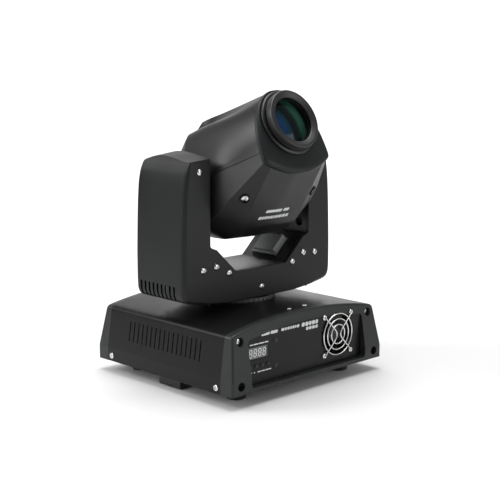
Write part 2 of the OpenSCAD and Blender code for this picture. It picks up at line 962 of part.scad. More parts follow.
module tilt_motor_pulley() {
    color("#c9cbcd")
        translate([98, tilt_y, tm_z])
            rotate([0, 90, 0])
                toothed_wheel(8, 2.53, 8, 12);
}

module tilt_belt() {
    color("#181818")
        translate([99.3, tilt_y, tilt_z])
            rotate([0, 90, 0])
                loop_belt(32.4, 8.4, tilt_z - tm_z, 5.4, 1.1);
}

module tilt_pulley() {
    color("#c9cbcd")
        translate([98, tilt_y, tilt_z])
            rotate([0, 90, 0])
                difference() {
                    union() {
                        toothed_wheel(32, 8.03, 8, 48);
                        difference() {
                            cylinder(r = 14, h = 12);
                            translate([0, 0, -1])
                                cylinder(r = 8.03, h = 16);
                        }
                    }
                    for (a = [0:60:300])
                        rotate([0, 0, a])
                            translate([22, 0, -1])
                                cylinder(r = 5.5, h = 12, $fn = 32);
                }
}

// ---------------------------------------------------------------- head

module tilt_axles() {
    color("#a3a6a9")
        for (s = [-1, 1])
            translate([0, tilt_y, tilt_z])
                rotate([0, 90 * s, 0])
                    difference() {
                        union() {
                            translate([0, 0, 68.02])
                                cylinder(r = 10, h = 18.2);
                            translate([0, 0, head_half + 0.3])
                                cylinder(r = 23, h = 3.4);
                            translate([0, 0, 80])
                                cylinder(r = 8, h = 32);
                        }
                        translate([0, 0, 60])
                            cylinder(r = 5.5, h = 60);
                    }
}

// Sections of the head: forward distance, then X and Z of the half outline
up_sections = [
    [106, [[56, 0], [56, 14], [52, 31], [45, 47], [36, 61], [24, 71.5], [12, 77], [0, 78.5]]],
    [43, [[80, 0], [79.5, 5], [67, 34], [49, 66], [36, 72], [0, 77]]],
    [12, [[82, 0], [62, 48], [48, 73], [34, 77], [0, 80]]],
    [-18, [[82, 0], [59, 56], [47, 76], [31, 80], [0, 81.5]]],
    [-36, [[81, 0], [57, 50], [45, 67], [30, 70.5], [0, 71.5]]],
    [-50, [[76, 0], [54, 44], [42, 57], [0, 60.5]]],
    [-66, [[64, 0], [48, 30], [40, 39], [0, 42]]],
    [-78, [[44, 0], [40, 10], [0, 12]]]
];
low_sections = [
    [106, [[56, 0], [56.5, -13], [46.5, -19.5], [0, -22.5]]],
    [85, [[65, -23], [47.5, -32.8]]],
    [43, [[80, 0], [80, -41.5], [47.5, -59.3]]],
    [27, [[82, 0], [82, -48], [47, -69]]],
    [0, [[82, 0], [82, -49], [46.5, -72.5]]],
    [-27, [[82, 0], [80.5, -43], [44, -63.5]]],
    [-50, [[76, 0], [71, -30], [42, -50.5]]],
    [-66, [[64, 0], [59, -18], [40, -34]]],
    [-78, [[44, 0], [40, -10], [0, -10]]]
];

// Convex body through the sections, walls moved inward by t, front pushed out by f
module head_hull(sections, t, f) {
    hull()
        for (k = [0:len(sections) - 1]) {
            s = sections[k];
            a = k == 0 ? s[0] + f : s[0] < -60 ? s[0] + t : s[0];
            for (m = [-1, 1])
                for (p = s[1]) {
                    x = max(p[0] - t, 0);
                    z = abs(p[1]) < 0.01 ? 0 : p[1] > 0 ? p[1] - t : p[1] + t;
                    translate([m * x - 0.05, -a, z - 0.05])
                        cube(0.1);
                }
        }
}

module upper_shell() {
    color("#34363a")
    head_place()
        difference() {
            union() {
                head_hull(up_sections, 0, 0);
                hull()
                    for (q = [
                        [104, 29, 60], [104, 22, 71], [104, 12, 77.5], [104, 0, 79.5],
                        [79, 29, 66.5], [79, 19, 77], [79, 0, 83],
                        [44, 29.5, 75], [44, 18, 83], [44, 0, 86.2],
                        [0, 30, 86], [0, 14, 87.7], [0, 0, 88],
                        [-16, 30, 78], [-16, 0, 80], [100, 27, 50], [-10, 28, 60]
                    ])
                        for (m = [-1, 1])
                            translate([m * q[1] - 0.05, -q[0], q[2] - 0.05])
                                cube(0.1);
            }
            head_hull(up_sections, shell_t, 4);
            box(-100, 100, -120, 100, -5, 0.15);
            rod_x(-100, 100, 0, 0, 10.4);
            for (i = [-4:4])
                box(i * 8 - 2, i * 8 + 2, 26, 64, 35, 90);
        }
}

module pocket_place() {
    for (s = [-1, 1])
        translate([s * 60.5, -61, -41.2])
            rotate([27, s * 152, 0])
                children();
}

module lower_shell() {
    color("#34363a")
    head_place()
        difference() {
            head_hull(low_sections, 0, 0);
            head_hull(low_sections, shell_t, 4);
            box(-100, 100, -120, 100, -0.15, 5);
            rod_x(-100, 100, 0, 0, 10.4);
            pocket_place()
                cylinder(r = 6.5, h = 30, center = true);
            for (i = [-4:4])
                box(i * 8 - 2, i * 8 + 2, 66, 90, -32, -8);
        }
}

module head_fasteners() {
    color("silver")
    head_place()
        pocket_place() {
            translate([0, 0, -4])
                cylinder(r = 2, h = 4);
            translate([0, 0, -3.4])
                cylinder(r = 6.2, h = 1.2);
            translate([0, 0, -0.6])
                difference() {
                    cylinder(r = 4.4, h = 2.2);
                    translate([-5, -0.7, 1])
                        cube([10, 1.4, 2]);
                }
        }
}

bezel_half = [
    [0, 80.3], [12, 78.6], [22, 73.8], [32, 66.5], [38.5, 60], [45.5, 48.5], [51.8, 32],
    [55.8, 17], [57.3, 1], [58, -13], [53, -16.3], [47, -19.5], [38, -23.6], [28, -27.4],
    [16, -30.2], [0, -31.4]
];

// Outline of the bezel's tongue, which slips inside the two shells
function tongue(k) = [for (p = bezel_half) [p[0] * k, 26 + (p[1] - 26) * (p[1] < 26 ? k - 0.12 : k)]];

module nose_bezel() {
    color("#26292c")
    head_place()
        difference() {
            union() {
                hull() {
                    along_y(-109.5, -106.3)
                        mirror_poly(bezel_half);
                    along_y(-112.6, -109)
                        mirror_poly([for (p = bezel_half) [p[0] * 0.93, optic_h + (p[1] - optic_h) * 0.94]]);
                }
                difference() {
                    along_y(-106.5, -101)
                        mirror_poly(tongue(0.88));
                    along_y(-107, -100)
                        mirror_poly(tongue(0.84));
                }
            }
            rod_y(0, -120, -90, optic_h, 33.9);
        }
}

// Turned part about the optical axis: points are radius, forward distance
module turned(pts) {
    head_place()
        translate([0, 0, optic_h])
            rotate([90, 0, 0])
                rotate_extrude($fn = 96)
                    polygon(pts);
}

module lens_barrel() {
    color("#1d1e20")
        turned([
            [31.2, 88], [33.6, 88], [33.6, 112.8], [42.5, 112.8], [42.5, 114.4],
            [41, 116.2], [33.6, 116.2], [33.6, 122.5], [31.2, 122.5]
        ]);
}

module focus_ring() {
    color("#2a2b2e")
        turned([
            [33.65, 116.6], [37.6, 116.6], [38.5, 117.4], [38.5, 126.2], [37.3, nose_len],
            [35.6, nose_len], [29, 124.4], [29, 123], [33.65, 123]
        ]);
}

module lens_cell() {
    color("#17181a")
        turned([
            [27.5, 104], [31.15, 104], [31.15, 120.2], [29.4, 120.2], [29.4, 110.6], [27.5, 110.6]
        ]);
}

module front_lens() {
    color([0.25, 0.5, 0.45, 0.5])
        turned(concat(
            [[0, 110.7], [29.2, 110.7]],
            [for (i = [0:10]) let (r = 29.2 * (1 - i / 10)) [r, 114.2 + 6.4 * (1 - (r / 29.2) * (r / 29.2))]]
        ));
}

module head_chassis() {
    color("#8f9294")
    head_place()
        difference() {
            union() {
                translate([0, 0, -14])
                    linear_extrude(height = 2)
                        polygon([[-46, -88], [46, -88], [68, -43], [68, 16], [-68, 16], [-68, -43]]);
                for (s = [-1, 1])
                    box(s * 67 - 1, s * 67 + 1, -20, 20, -14, 20);
                box(-48, 48, -31, -29, -13, 56);
                difference() {
                    box(-40, 40, -88, -86, -13, 66);
                    for (s = [-1, 1])
                        translate([s * 40, -87, 66])
                            rotate([0, 45, 0])
                                cube([24, 6, 24], center = true);
                }
            }
            rod_x(-70, 70, 0, 0, 7);
            rod_y(0, -32, -28, optic_h, 10);
            rod_y(0, -90, -84, optic_h, 28);
            for (s = [-1, 1])
                rod_y(s * 24, -32, -28, optic_h, 3);
        }
}

module led_module() {
    color("#d8d8d0")
    head_place()
        union() {
            box(-22, 22, 10, 13, optic_h - 22, optic_h + 22);
            rod_y(0, 8, 10.5, optic_h, 8);
        }
    color([0.8, 0.85, 0.9, 0.6])
    head_place()
        rod_y(0, -2, 8.1, optic_h, 11);
}

module heat_sink() {
    color("#a6a9ab")
    head_place() {
        box(-32, 32, 13.05, 18, 4, 54);
        for (i = [-8:8])
            box(i * 3.9 - 0.8, i * 3.9 + 0.8, 17.9, 44, 4, 54);
        difference() {
            box(-22, 22, 43.9, 56, -2, 42);
            rod_y(0, 43, 57, 20, 20.2);
        }
        for (a = [0:120:240])
            translate([0, 46, 20])
                rotate([0, a + 30, 0])
                    box(0, 21, -1.6, 1.6, -1.5, 1.5);
        rod_y(0, 44.2, 47.6, 20, 8);
        for (s = [-1, 1])
            box(s * 29 - 2, s * 29 + 2, 13.1, 17.9, -12, 4.5);
    }
}

module head_fan_rotor() {
    color("#2c2d30")
    head_place() {
        rod_y(0, 48, 55.5, 20, 8);
        for (a = [0:51.43:350])
            translate([0, 51.8, 20])
                rotate([0, a, 0])
                    translate([7.5, 0, 0])
                        rotate([38, 0, 0])
                            translate([0, -0.5, -4])
                                cube([11.8, 1, 8]);
    }
}

module effect_wheel(y, cxw, n, hole_r) {
    head_place()
        translate([cxw, y, optic_h])
            rotate([90, 0, 0])
                difference() {
                    union() {
                        cylinder(r = 32.5, h = 1.2);
                        cylinder(r = 5, h = 4);
                    }
                    for (i = [0:n - 1])
                        rotate([0, 0, i * 360 / n])
                            translate([24, 0, -1])
                                cylinder(r = hole_r, h = 4, $fn = 32);
                    translate([0, 0, -1])
                        cylinder(r = 1.53, h = 8, $fn = 32);
                }
}

module gobo_wheel() {
    color("#b8babc")
        effect_wheel(-33.5, 24, 8, 6.5);
}

module colour_wheel() {
    color("#d0a040")
        effect_wheel(-23.5, -24, 8, 7);
}

module wheel_motors() {
    color("#77797c")
    head_place() {
        rod_y(24, -28.95, -12, optic_h, 11);
        rod_y(24, -38, -28, optic_h, 1.5);
        rod_y(-24, -49, -31.05, optic_h, 11);
        rod_y(-24, -32, -22, optic_h, 1.5);
    }
}

// ---------------------------------------------------------------- drawing

base_tray();
base_cover();
front_end_cap();
rear_end_cap();
front_panel();
rear_panel();
display_module();
button_menu();
button_down();
button_up();
button_enter();
control_board();
fan_frame();
base_fan_rotor();
fan_guard();
panel_screws();
base_screws();
power_inlet();
data_in_socket();
data_out_socket();
rubber_feet();
omega_bracket();
bracket_locks();
power_supply();
base_bridge();
pan_bearing();
pan_motor();
pan_motor_pulley();
pan_belt();
pan_pulley();
pan_spindle();
yoke_trough();
yoke_bottom_plate();
yoke_front_cover();
yoke_rear_cover();
left_arm_cover();
right_arm_cover();
yoke_screws();
cable_clamp();
tilt_bearings();
tilt_motor();
tilt_motor_pulley();
tilt_belt();
tilt_pulley();
tilt_axles();
head_chassis();
upper_shell();
lower_shell();
nose_bezel();
lens_barrel();
focus_ring();
lens_cell();
front_lens();
led_module();
heat_sink();
head_fan_rotor();
colour_wheel();
gobo_wheel();
wheel_motors();
head_fasteners();
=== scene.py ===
import json
import math

import bmesh
import bpy
from mathutils import Matrix, Vector
from mathutils.geometry import tessellate_polygon


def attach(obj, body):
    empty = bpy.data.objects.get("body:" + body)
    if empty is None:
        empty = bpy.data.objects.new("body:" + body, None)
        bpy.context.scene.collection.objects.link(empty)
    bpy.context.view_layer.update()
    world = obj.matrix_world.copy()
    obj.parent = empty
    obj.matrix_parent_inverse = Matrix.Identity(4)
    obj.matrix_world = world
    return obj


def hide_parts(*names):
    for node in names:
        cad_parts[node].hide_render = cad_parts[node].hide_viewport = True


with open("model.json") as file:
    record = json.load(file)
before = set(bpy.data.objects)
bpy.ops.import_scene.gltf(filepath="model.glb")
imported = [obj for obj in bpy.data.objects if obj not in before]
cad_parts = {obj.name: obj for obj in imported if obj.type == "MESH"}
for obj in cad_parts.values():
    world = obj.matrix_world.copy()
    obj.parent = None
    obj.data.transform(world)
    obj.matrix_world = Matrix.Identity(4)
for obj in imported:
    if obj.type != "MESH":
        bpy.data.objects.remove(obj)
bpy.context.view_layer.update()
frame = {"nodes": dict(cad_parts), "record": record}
MM = 0.001
TILT_Z = 251.0  # height of the tilt axis
BEAM_UP = math.radians(26)  # how far the beam points up at rest
OPTIC = 34.1  # height of the optical axis above the tilt axis, square to the beam

# ---- camera

VIEW_TURN = 44.1  # the camera looks this many degrees to the right of +Y
cam_data = bpy.data.cameras.new("camera")
cam = bpy.data.objects.new("camera", cam_data)
bpy.context.scene.collection.objects.link(cam)
cam.location = (-1.0156, -1.0677, 0.4176)
cam.rotation_euler = (math.radians(80.12), 0, math.radians(-VIEW_TURN))
cam_data.lens = 81.9
cam_data.sensor_width = 36
bpy.context.scene.camera = cam
bpy.context.scene.view_settings.view_transform = "Standard"

# ---- mesh tools


def put(ob):
    bpy.context.scene.collection.objects.link(ob)
    return ob


def add_mesh(name, verts, faces):
    """A new object from points in mm."""
    me = bpy.data.meshes.new(name)
    me.from_pydata([tuple(c * MM for c in v) for v in verts], [], faces)
    me.validate()
    return tidy_normals(put(bpy.data.objects.new(name, me)))


def tidy_normals(ob, weld=1e-6, degenerate=False):
    bm = bmesh.new()
    bm.from_mesh(ob.data)
    bmesh.ops.remove_doubles(bm, verts=bm.verts, dist=weld)
    if degenerate:
        bmesh.ops.dissolve_degenerate(bm, edges=bm.edges, dist=weld)
    bmesh.ops.recalc_face_normals(bm, faces=bm.faces)
    bm.to_mesh(ob.data)
    bm.free()
    return ob


def bake_mods(ob):
    dg = bpy.context.evaluated_depsgraph_get()
    me = bpy.data.meshes.new_from_object(ob.evaluated_get(dg))
    me.name = ob.name
    ob.modifiers.clear()
    ob.data = me
    return ob


def drop(ob):
    bpy.data.objects.remove(ob)


def boolean(ob, cutters, op="DIFFERENCE"):
    """Cuts or joins ob with one cutter or a list of them; the cutters are used up."""
    cutter = join(cutters, "cutter") if isinstance(cutters, list) else cutters
    m = ob.modifiers.new("cut", "BOOLEAN")
    m.operation = op
    m.solver = "EXACT"
    m.use_self = True
    m.object = cutter
    bpy.context.view_layer.update()
    bake_mods(ob)
    drop(cutter)
    return tidy_normals(ob, 1e-7)


def join(obs, name):
    bm = bmesh.new()
    for o in obs:
        bm.from_mesh(o.data)
        drop(o)
    me = bpy.data.meshes.new(name)
    bm.to_mesh(me)
    bm.free()
    out = put(bpy.data.objects.new(name, me))
    bpy.context.view_layer.update()
    return out


def ring_faces(rings, n, closed=True, loop=False):
    """Quads between rings of n points; closed joins a ring's ends, loop joins the last ring to the first."""
    faces = []
    for a in range(rings if loop else rings - 1):
        b = (a + 1) % rings
        for k in range(n if closed else n - 1):
            k2 = (k + 1) % n
            faces.append((a * n + k, a * n + k2, b * n + k2, b * n + k))
    return faces


def area2(pts):
    return sum(p[0] * q[1] - q[0] * p[1] for p, q in zip(pts, pts[1:] + pts[:1]))


def fillet(pts, radii, seg=6):
    """A closed outline with each corner turned into an arc; radii is one number or one per point."""
    n = len(pts)
    if not isinstance(radii, list):
        radii = [radii] * n
    out = []
    for i in range(n):
        p, a, b, r = Vector(pts[i]), Vector(pts[i - 1]), Vector(pts[(i + 1) % n]), radii[i]
        u, v = (a - p), (b - p)
        lu, lv = u.length, v.length
        if r <= 0 or lu < 1e-9 or lv < 1e-9:
            out.append(tuple(p))
            continue
        u.normalize()
        v.normalize()
        ang = math.acos(max(-1, min(1, u.dot(v))))
        if ang > math.radians(176):
            out.append(tuple(p))
            continue
        d = min(r / math.tan(ang / 2), lu * 0.48, lv * 0.48)
        rr = d * math.tan(ang / 2)
        cen = p + (u + v).normalized() * (rr / math.sin(ang / 2))
        s, e = p + u * d - cen, p + v * d - cen
        sweep = math.atan2(s.x * e.y - s.y * e.x, s.dot(e))
        for k in range(seg + 1):
            c, w = math.cos(sweep * k / seg), math.sin(sweep * k / seg)
            out.append((cen.x + s.x * c - s.y * w, cen.y + s.x * w + s.y * c))
    return out


def prism(name, pts, axis, lo, hi):
    """A closed outline pushed along an axis. axis y: points are (x, z); x: (y, z); z: (x, y)."""
    n = len(pts)
    if axis == "x":
        verts = [(t, p[0], p[1]) for t in (lo, hi) for p in pts]
    elif axis == "y":
        verts = [(p[0], t, p[1]) for t in (lo, hi) for p in pts]
    else:
        verts = [(p[0], p[1], t) for t in (lo, hi) for p in pts]
    return add_mesh(name, verts, ring_faces(2, n) + [tuple(range(n)), tuple(range(2 * n - 1, n - 1, -1))])


def oblong(x0, x1, z0, z1, r, seg):
    """The outline of a rectangle with rounded corners."""
    return fillet([(x0, z0), (x1, z0), (x1, z1), (x0, z1)], r, seg)


def box_cut(x0, x1, y0, y1, z0, z1):
    return prism("box", [(x0, y0), (x1, y0), (x1, y1), (x0, y1)], "z", z0, z1)


def circle(cx, cy, r, n=48):
    return [(cx + r * math.cos(2 * math.pi * i / n), cy + r * math.sin(2 * math.pi * i / n)) for i in range(n)]


def rod(axis, u, v, lo, hi, r, n=48):
    """Plain round cutter: axis x: (u, v) is (y, z); y: (x, z); z: (x, y)."""
    return prism("rod", circle(u, v, r, n), axis, lo, hi)


def bevel(ob, width, seg=3, angle=35, pick=None):
    """Rounds the edges sharper than angle, or only those that pick(middle in mm) accepts."""
    bm = bmesh.new()
    bm.from_mesh(ob.data)
    bmesh.ops.dissolve_limit(bm, angle_limit=math.radians(0.4), verts=bm.verts, edges=bm.edges)
    chosen = []
    for e in bm.edges:
        if len(e.link_faces) != 2 or e.calc_face_angle(0) < math.radians(angle):
            continue
        mid = (e.verts[0].co + e.verts[1].co) / 2 / MM
        if pick is None or pick(mid):
            chosen.append(e)
    if chosen:
        bmesh.ops.bevel(bm, geom=chosen, offset=width * MM, offset_type="OFFSET", segments=seg, profile=0.5,
                        affect="EDGES", clamp_overlap=True, miter_outer="SHARP")
    bmesh.ops.recalc_face_normals(bm, faces=bm.faces)
    bm.to_mesh(ob.data)
    bm.free()
    return ob


def wall(ob, t):
    """Gives a skin a thickness of t inwards."""
    m = ob.modifiers.new("wall", "SOLIDIFY")
    m.thickness = t * MM
    m.offset = -1
    m.use_even_offset = False
    return bake_mods(ob)


def smooth(ob, angle=32, weighted=True):
    for p in ob.data.polygons:
        p.use_smooth = True
    ob.data.set_sharp_from_angle(angle=math.radians(angle))
    if weighted:
        m = ob.modifiers.new("normals", "WEIGHTED_NORMAL")
        m.keep_sharp = True
        m.weight = 80
        bake_mods(ob)
    return ob


def lathe(name, prof, place, n=96, close=True):
    """Turns a profile of (radius, along) about an axis; place maps (u, v, along) to mm in the frame."""
    verts = []
    for i in range(n):
        t = 2 * math.pi * i / n
        verts += [place(r * math.cos(t), r * math.sin(t), a) for r, a in prof]
    ob = add_mesh(name, verts, ring_faces(n, len(prof), close, loop=True))
    return tidy_normals(ob, 1e-7, degenerate=True)


def head_point(x, a, h):
    """A point of the head: x sideways, a forward along the beam, h up from the tilt axis."""
    c, s = math.cos(BEAM_UP), math.sin(BEAM_UP)
    return (x, -a * c + h * s, TILT_Z + a * s + h * c)


def optic_place(u, v, a):
    """A point about the optical axis: u sideways, v up, a forward of the tilt axis."""
    return head_point(u, a, OPTIC + v)


def at_y(x, z):
    return lambda u, v, a: (x + u, a, z + v)


def at_z(x, y):
    return lambda u, v, a: (x + u, y + v, a)


def wire(name, pts, r, n=12, closed=False):
    """A round wire through the points, in mm, as a mesh."""
    P = [Vector(p) for p in pts]
    m = len(P)
    verts = []
    up = None
    for i, p in enumerate(P):
        a = P[i - 1] if (i > 0 or closed) else P[i]
        b = P[(i + 1) % m] if (i < m - 1 or closed) else P[i]
        t = (b - a).normalized()
        if up is None:
            up = t.orthogonal().normalized()
        up = (up - t * up.dot(t)).normalized()
        side = t.cross(up)
        for u, v in circle(0, 0, r, n):
            verts.append(tuple(p + up * u + side * v))
    faces = ring_faces(m, n, loop=closed)
    if not closed:
        faces += [tuple(range(n)), tuple(range((m - 1) * n, m * n))]
    return add_mesh(name, verts, faces)


def chaikin(pts, rounds=2, closed=False):
    for _ in range(rounds):
        out = [] if closed else [pts[0]]
        rng = range(len(pts)) if closed else range(len(pts) - 1)
        for i in rng:
            p, q = pts[i], pts[(i + 1) % len(pts)]
            out.append(tuple(p[k] * 0.75 + q[k] * 0.25 for k in range(len(p))))
            out.append(tuple(p[k] * 0.25 + q[k] * 0.75 for k in range(len(p))))
        if not closed:
            out.append(pts[-1])
        pts = out
    return pts


def resample(pts, n):
    """n + 1 points evenly along an open path."""
    L = [0.0]
    for p, q in zip(pts, pts[1:]):
        L.append(L[-1] + math.dist(p, q))
    out, k = [], 0
    for i in range(n + 1):
        s = L[-1] * i / n
        while k < len(L) - 2 and L[k + 1] < s:
            k += 1
        t = 0 if L[k + 1] == L[k] else (s - L[k]) / (L[k + 1] - L[k])
        out.append(tuple(pts[k][j] * (1 - t) + pts[k + 1][j] * t for j in range(len(pts[0]))))
    return out


def cubic(keys, t):
    """Smooth value at t through (t, tuple) keys, without overshoot between equal values."""
    keys = sorted(keys, key=lambda k: k[0])
    if t <= keys[0][0]:
        return keys[0][1]
    if t >= keys[-1][0]:
        return keys[-1][1]
    i = max(k for k in range(len(keys) - 1) if keys[k][0] <= t)
    t0, p0 = keys[i]
    t1, p1 = keys[i + 1]
    h = t1 - t0
    s = (t - t0) / h
    out = []
    for c in range(len(p0)):
        d = (p1[c] - p0[c]) / h
        m0 = d if i == 0 else slope(keys, i, c)
        m1 = d if i + 1 == len(keys) - 1 else slope(keys, i + 1, c)
        out.append((2 * s ** 3 - 3 * s ** 2 + 1) * p0[c] + (s ** 3 - 2 * s ** 2 + s) * h * m0
                   + (-2 * s ** 3 + 3 * s ** 2) * p1[c] + (s ** 3 - s ** 2) * h * m1)
    return tuple(out)


def slope(keys, i, c):
    d0 = (keys[i][1][c] - keys[i - 1][1][c]) / (keys[i][0] - keys[i - 1][0])
    d1 = (keys[i + 1][1][c] - keys[i][1][c]) / (keys[i + 1][0] - keys[i][0])
    if d0 * d1 <= 0:
        return 0.0
    return 2 * d0 * d1 / (d0 + d1)


# ---- materials


def new_mat(name):
    m = bpy.data.materials.new(name)
    m.use_nodes = True
    nt = m.node_tree
    return m, nt, nt.nodes["Principled BSDF"], nt.nodes.new("ShaderNodeTexCoord").outputs["Object"]


def link(nt, a, b):
    nt.links.new(a, b)


def noise(nt, coord, scale, detail=3, rough=0.55):
    n = nt.nodes.new("ShaderNodeTexNoise")
    n.inputs["Scale"].default_value = scale
    n.inputs["Detail"].default_value = detail
    n.inputs["Roughness"].default_value = rough
    link(nt, coord, n.inputs["Vector"])
    return n.outputs["Fac"]


def ramp(nt, fac, stops):
    """A colour ramp; the first two stops are its ends."""
    r = nt.nodes.new("ShaderNodeValToRGB")
    e = r.color_ramp.elements
    e[0].position, e[0].color = stops[0][0], (*stops[0][1], 1)
    e[1].position, e[1].color = stops[1][0], (*stops[1][1], 1)
    for pos, col in stops[2:]:
        k = e.new(pos)
        k.color = (*col, 1)
    link(nt, fac, r.inputs["Fac"])
    return r.outputs["Color"]


def spread(nt, fac, lo, hi):
    """Noise, which stays mostly between 0.3 and 0.7, stretched to run from lo to hi."""
    m = nt.nodes.new("ShaderNodeMapRange")
    for socket, value in (("From Min", 0.3), ("From Max", 0.7), ("To Min", lo), ("To Max", hi)):
        m.inputs[socket].default_value = value
    link(nt, fac, m.inputs["Value"])
    return m.outputs["Result"]


def multiply(nt, a, b):
    mix = nt.nodes.new("ShaderNodeMix")
    mix.data_type = "RGBA"
    mix.blend_type = "MULTIPLY"
    mix.inputs["Factor"].default_value = 1.0
    link(nt, a, mix.inputs[6])
    link(nt, b, mix.inputs[7])
    return mix.outputs[2]


def surface(name, col, rough, vary=0.12, rough_vary=0.05, metal=0.0, grain=1400, bump=0.12, patch=14, spec=0.5):
    """Moulded, painted or plated surface: fine grain, faint larger patches in colour and gloss.

    col is a grey or (red, green, blue)."""
    if not isinstance(col, tuple):
        col = (col, col, col)
    m, nt, b, coord = new_mat(name)
    big = noise(nt, coord, patch, 2)
    fine = noise(nt, coord, grain, 4, 0.6)
    lo = tuple(c * (1 - vary) for c in col)
    hi = tuple(min(1, c * (1 + vary)) for c in col)
    colour = ramp(nt, big, [(0.3, lo), (0.7, hi)])
    fleck = ramp(nt, fine, [(0.35, (0.86, 0.86, 0.86)), (0.65, (1.0, 1.0, 1.0))])
    link(nt, multiply(nt, colour, fleck), b.inputs["Base Color"])
    gloss = spread(nt, big, max(0.02, rough - rough_vary), min(1, rough + rough_vary))
    link(nt, gloss, b.inputs["Roughness"])
    b.inputs["Metallic"].default_value = metal
    b.inputs["Specular IOR Level"].default_value = spec
    if bump > 0:
        bp = nt.nodes.new("ShaderNodeBump")
        bp.inputs["Strength"].default_value = bump
        bp.inputs["Distance"].default_value = 0.00006
        link(nt, fine, bp.inputs["Height"])
        link(nt, bp.outputs["Normal"], b.inputs["Normal"])
    return m


def lens_mat():
    """Front element with painted reflections in its base colour: blue to violet where it faces, green towards
    grazing, dark between.
    """
    m, nt, b, coord = new_mat("lens_glass")
    n = noise(nt, coord, 40, 2)
    facing = nt.nodes.new("ShaderNodeLayerWeight")
    facing.inputs["Blend"].default_value = 0.5
    violet, black = (0.03, 0.018, 0.12), (0.006, 0.008, 0.008)
    # painted reflections: the facing ramp puts violet, blue and green reflection colours into the base colour
    painted_reflection = ramp(nt, facing.outputs["Facing"], [
        (0.0, violet), (1.0, black), (0.14, (0.02, 0.02, 0.13)), (0.2, (0.01, 0.042, 0.11)),
        (0.26, (0.008, 0.035, 0.06)), (0.31, (0.003, 0.007, 0.007)), (0.39, (0.003, 0.01, 0.008)),
        (0.45, (0.012, 0.055, 0.036)), (0.55, (0.014, 0.06, 0.042)), (0.6, (0.004, 0.01, 0.008))])
    cloud = ramp(nt, n, [(0.3, (0.9, 0.9, 0.9)), (0.7, (1.0, 1.0, 1.0))])
    link(nt, multiply(nt, painted_reflection, cloud), b.inputs["Base Color"])
    link(nt, spread(nt, n, 0.1, 0.14), b.inputs["Roughness"])
    b.inputs["Transmission Weight"].default_value = 0.1
    b.inputs["IOR"].default_value = 1.52
    b.inputs["Specular IOR Level"].default_value = 0.09
    return m


def coated_mat():
    """Dark blue inner element."""
    m, nt, b, coord = new_mat("inner_coating")
    n = noise(nt, coord, 60, 2)
    link(nt, ramp(nt, n, [(0.3, (0.006, 0.012, 0.03)), (0.7, (0.012, 0.03, 0.04))]), b.inputs["Base Color"])
    link(nt, spread(nt, n, 0.12, 0.18), b.inputs["Roughness"])
    b.inputs["Specular IOR Level"].default_value = 0.4
    return m


# the frame may hold a material of the same name, so Blender may have put a number after a dot
MATS = {m.name.split(".")[0]: m for m in (
    surface("black_sheet", 0.008, 0.42, spec=0.4, bump=0.25, grain=900),
    surface("cover_paint", 0.007, 0.36, spec=0.19, bump=0.22, grain=1100),
    surface("cap_plastic", (0.018, 0.0195, 0.02), 0.42, spec=0.34, bump=0.18, grain=1500),
    surface("panel_gloss", (0.0075, 0.0078, 0.0072), 0.32, spec=0.2, bump=0.1, grain=1700),
    surface("display_face", (0.16, 0.165, 0.165), 0.3, bump=0.05),
    surface("button_plastic", 0.018, 0.4),
    surface("board_green", (0.02, 0.12, 0.05), 0.4),
    surface("fan_plastic", (0.012, 0.012, 0.013), 0.4),
    surface("guard_chrome", (0.78, 0.78, 0.77), 0.16, vary=0.04, rough_vary=0.04, metal=1.0, bump=0.03),
    surface("screw_chrome", (0.74, 0.74, 0.73), 0.2, vary=0.05, metal=1.0, bump=0.05),
    surface("socket_plastic", 0.012, 0.42),
    surface("socket_metal", (0.05, 0.05, 0.052), 0.35, metal=0.8),
    surface("foot_rubber", 0.009, 0.72, bump=0.3, grain=1000),
    surface("bracket_paint", (0.014, 0.014, 0.015), 0.42, bump=0.25, grain=1000),
    surface("lock_zinc", (0.55, 0.55, 0.54), 0.3, metal=1.0),
    surface("case_zinc", (0.5, 0.5, 0.49), 0.38, metal=1.0, patch=60),
    surface("collar_plastic", 0.16, 0.4),
    surface("motor_steel", 0.03, 0.45, metal=0.3),
    surface("pulley_alu", 0.66, 0.3, metal=1.0),
    surface("belt_rubber", 0.012, 0.7, bump=0.3),
    surface("spindle_steel", 0.5, 0.3, metal=1.0),
    surface("trough_paint", 0.01, 0.36, spec=0.32),
    surface("yoke_plastic", (0.0115, 0.0125, 0.012), 0.42, spec=0.28, bump=0.2, grain=1500),
    surface("arm_plastic", (0.0095, 0.0105, 0.0103), 0.42, spec=0.22, bump=0.2, grain=1500),
    # clamp colour raised to a pale grey as painted light, standing in for the light the clamp's faces catch
    surface("clamp_metal", (0.27, 0.275, 0.28), 0.4, metal=0.2),
    surface("bearing_steel", 0.6, 0.22, metal=1.0),
    surface("axle_steel", (0.3, 0.31, 0.32), 0.3, metal=1.0),
    surface("shell_plastic", 0.009, 0.4, spec=0.37, bump=0.16, grain=1600),
    surface("bezel_plastic", (0.0085, 0.0115, 0.0115), 0.5, spec=0.3, bump=0.2),
    surface("barrel_plastic", 0.006, 0.36, bump=0.08),
    surface("ring_anodised", 0.014, 0.42, bump=0.06),
    surface("led_ceramic", (0.7, 0.7, 0.66), 0.4),
    surface("sink_alu", (0.6, 0.6, 0.61), 0.35, metal=1.0),
    surface("wheel_alu", (0.6, 0.58, 0.53), 0.3, metal=1.0),
    surface("wheel_steel", 0.5, 0.3, metal=1.0),
    lens_mat())}
COATED = coated_mat()
PRINT = surface("white_print", (0.72, 0.73, 0.73), 0.45, vary=0.06, bump=0.1)
DIGIT = surface("lit_digits", (0.85, 0.86, 0.86), 0.35)
PAPER = surface("pale_floor", 0.86, 0.8, vary=0.01, bump=0.0, patch=2)

# ---- pieces


def tag(ob, body, nodes=()):
    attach(ob, body)
    if nodes:
        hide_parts(*nodes)
    return ob


def add_piece(ob, body, slot, nodes=(), mat=None):
    ob.data.materials.clear()
    ob.data.materials.append(mat or MATS[slot])
    return tag(ob, body, nodes)


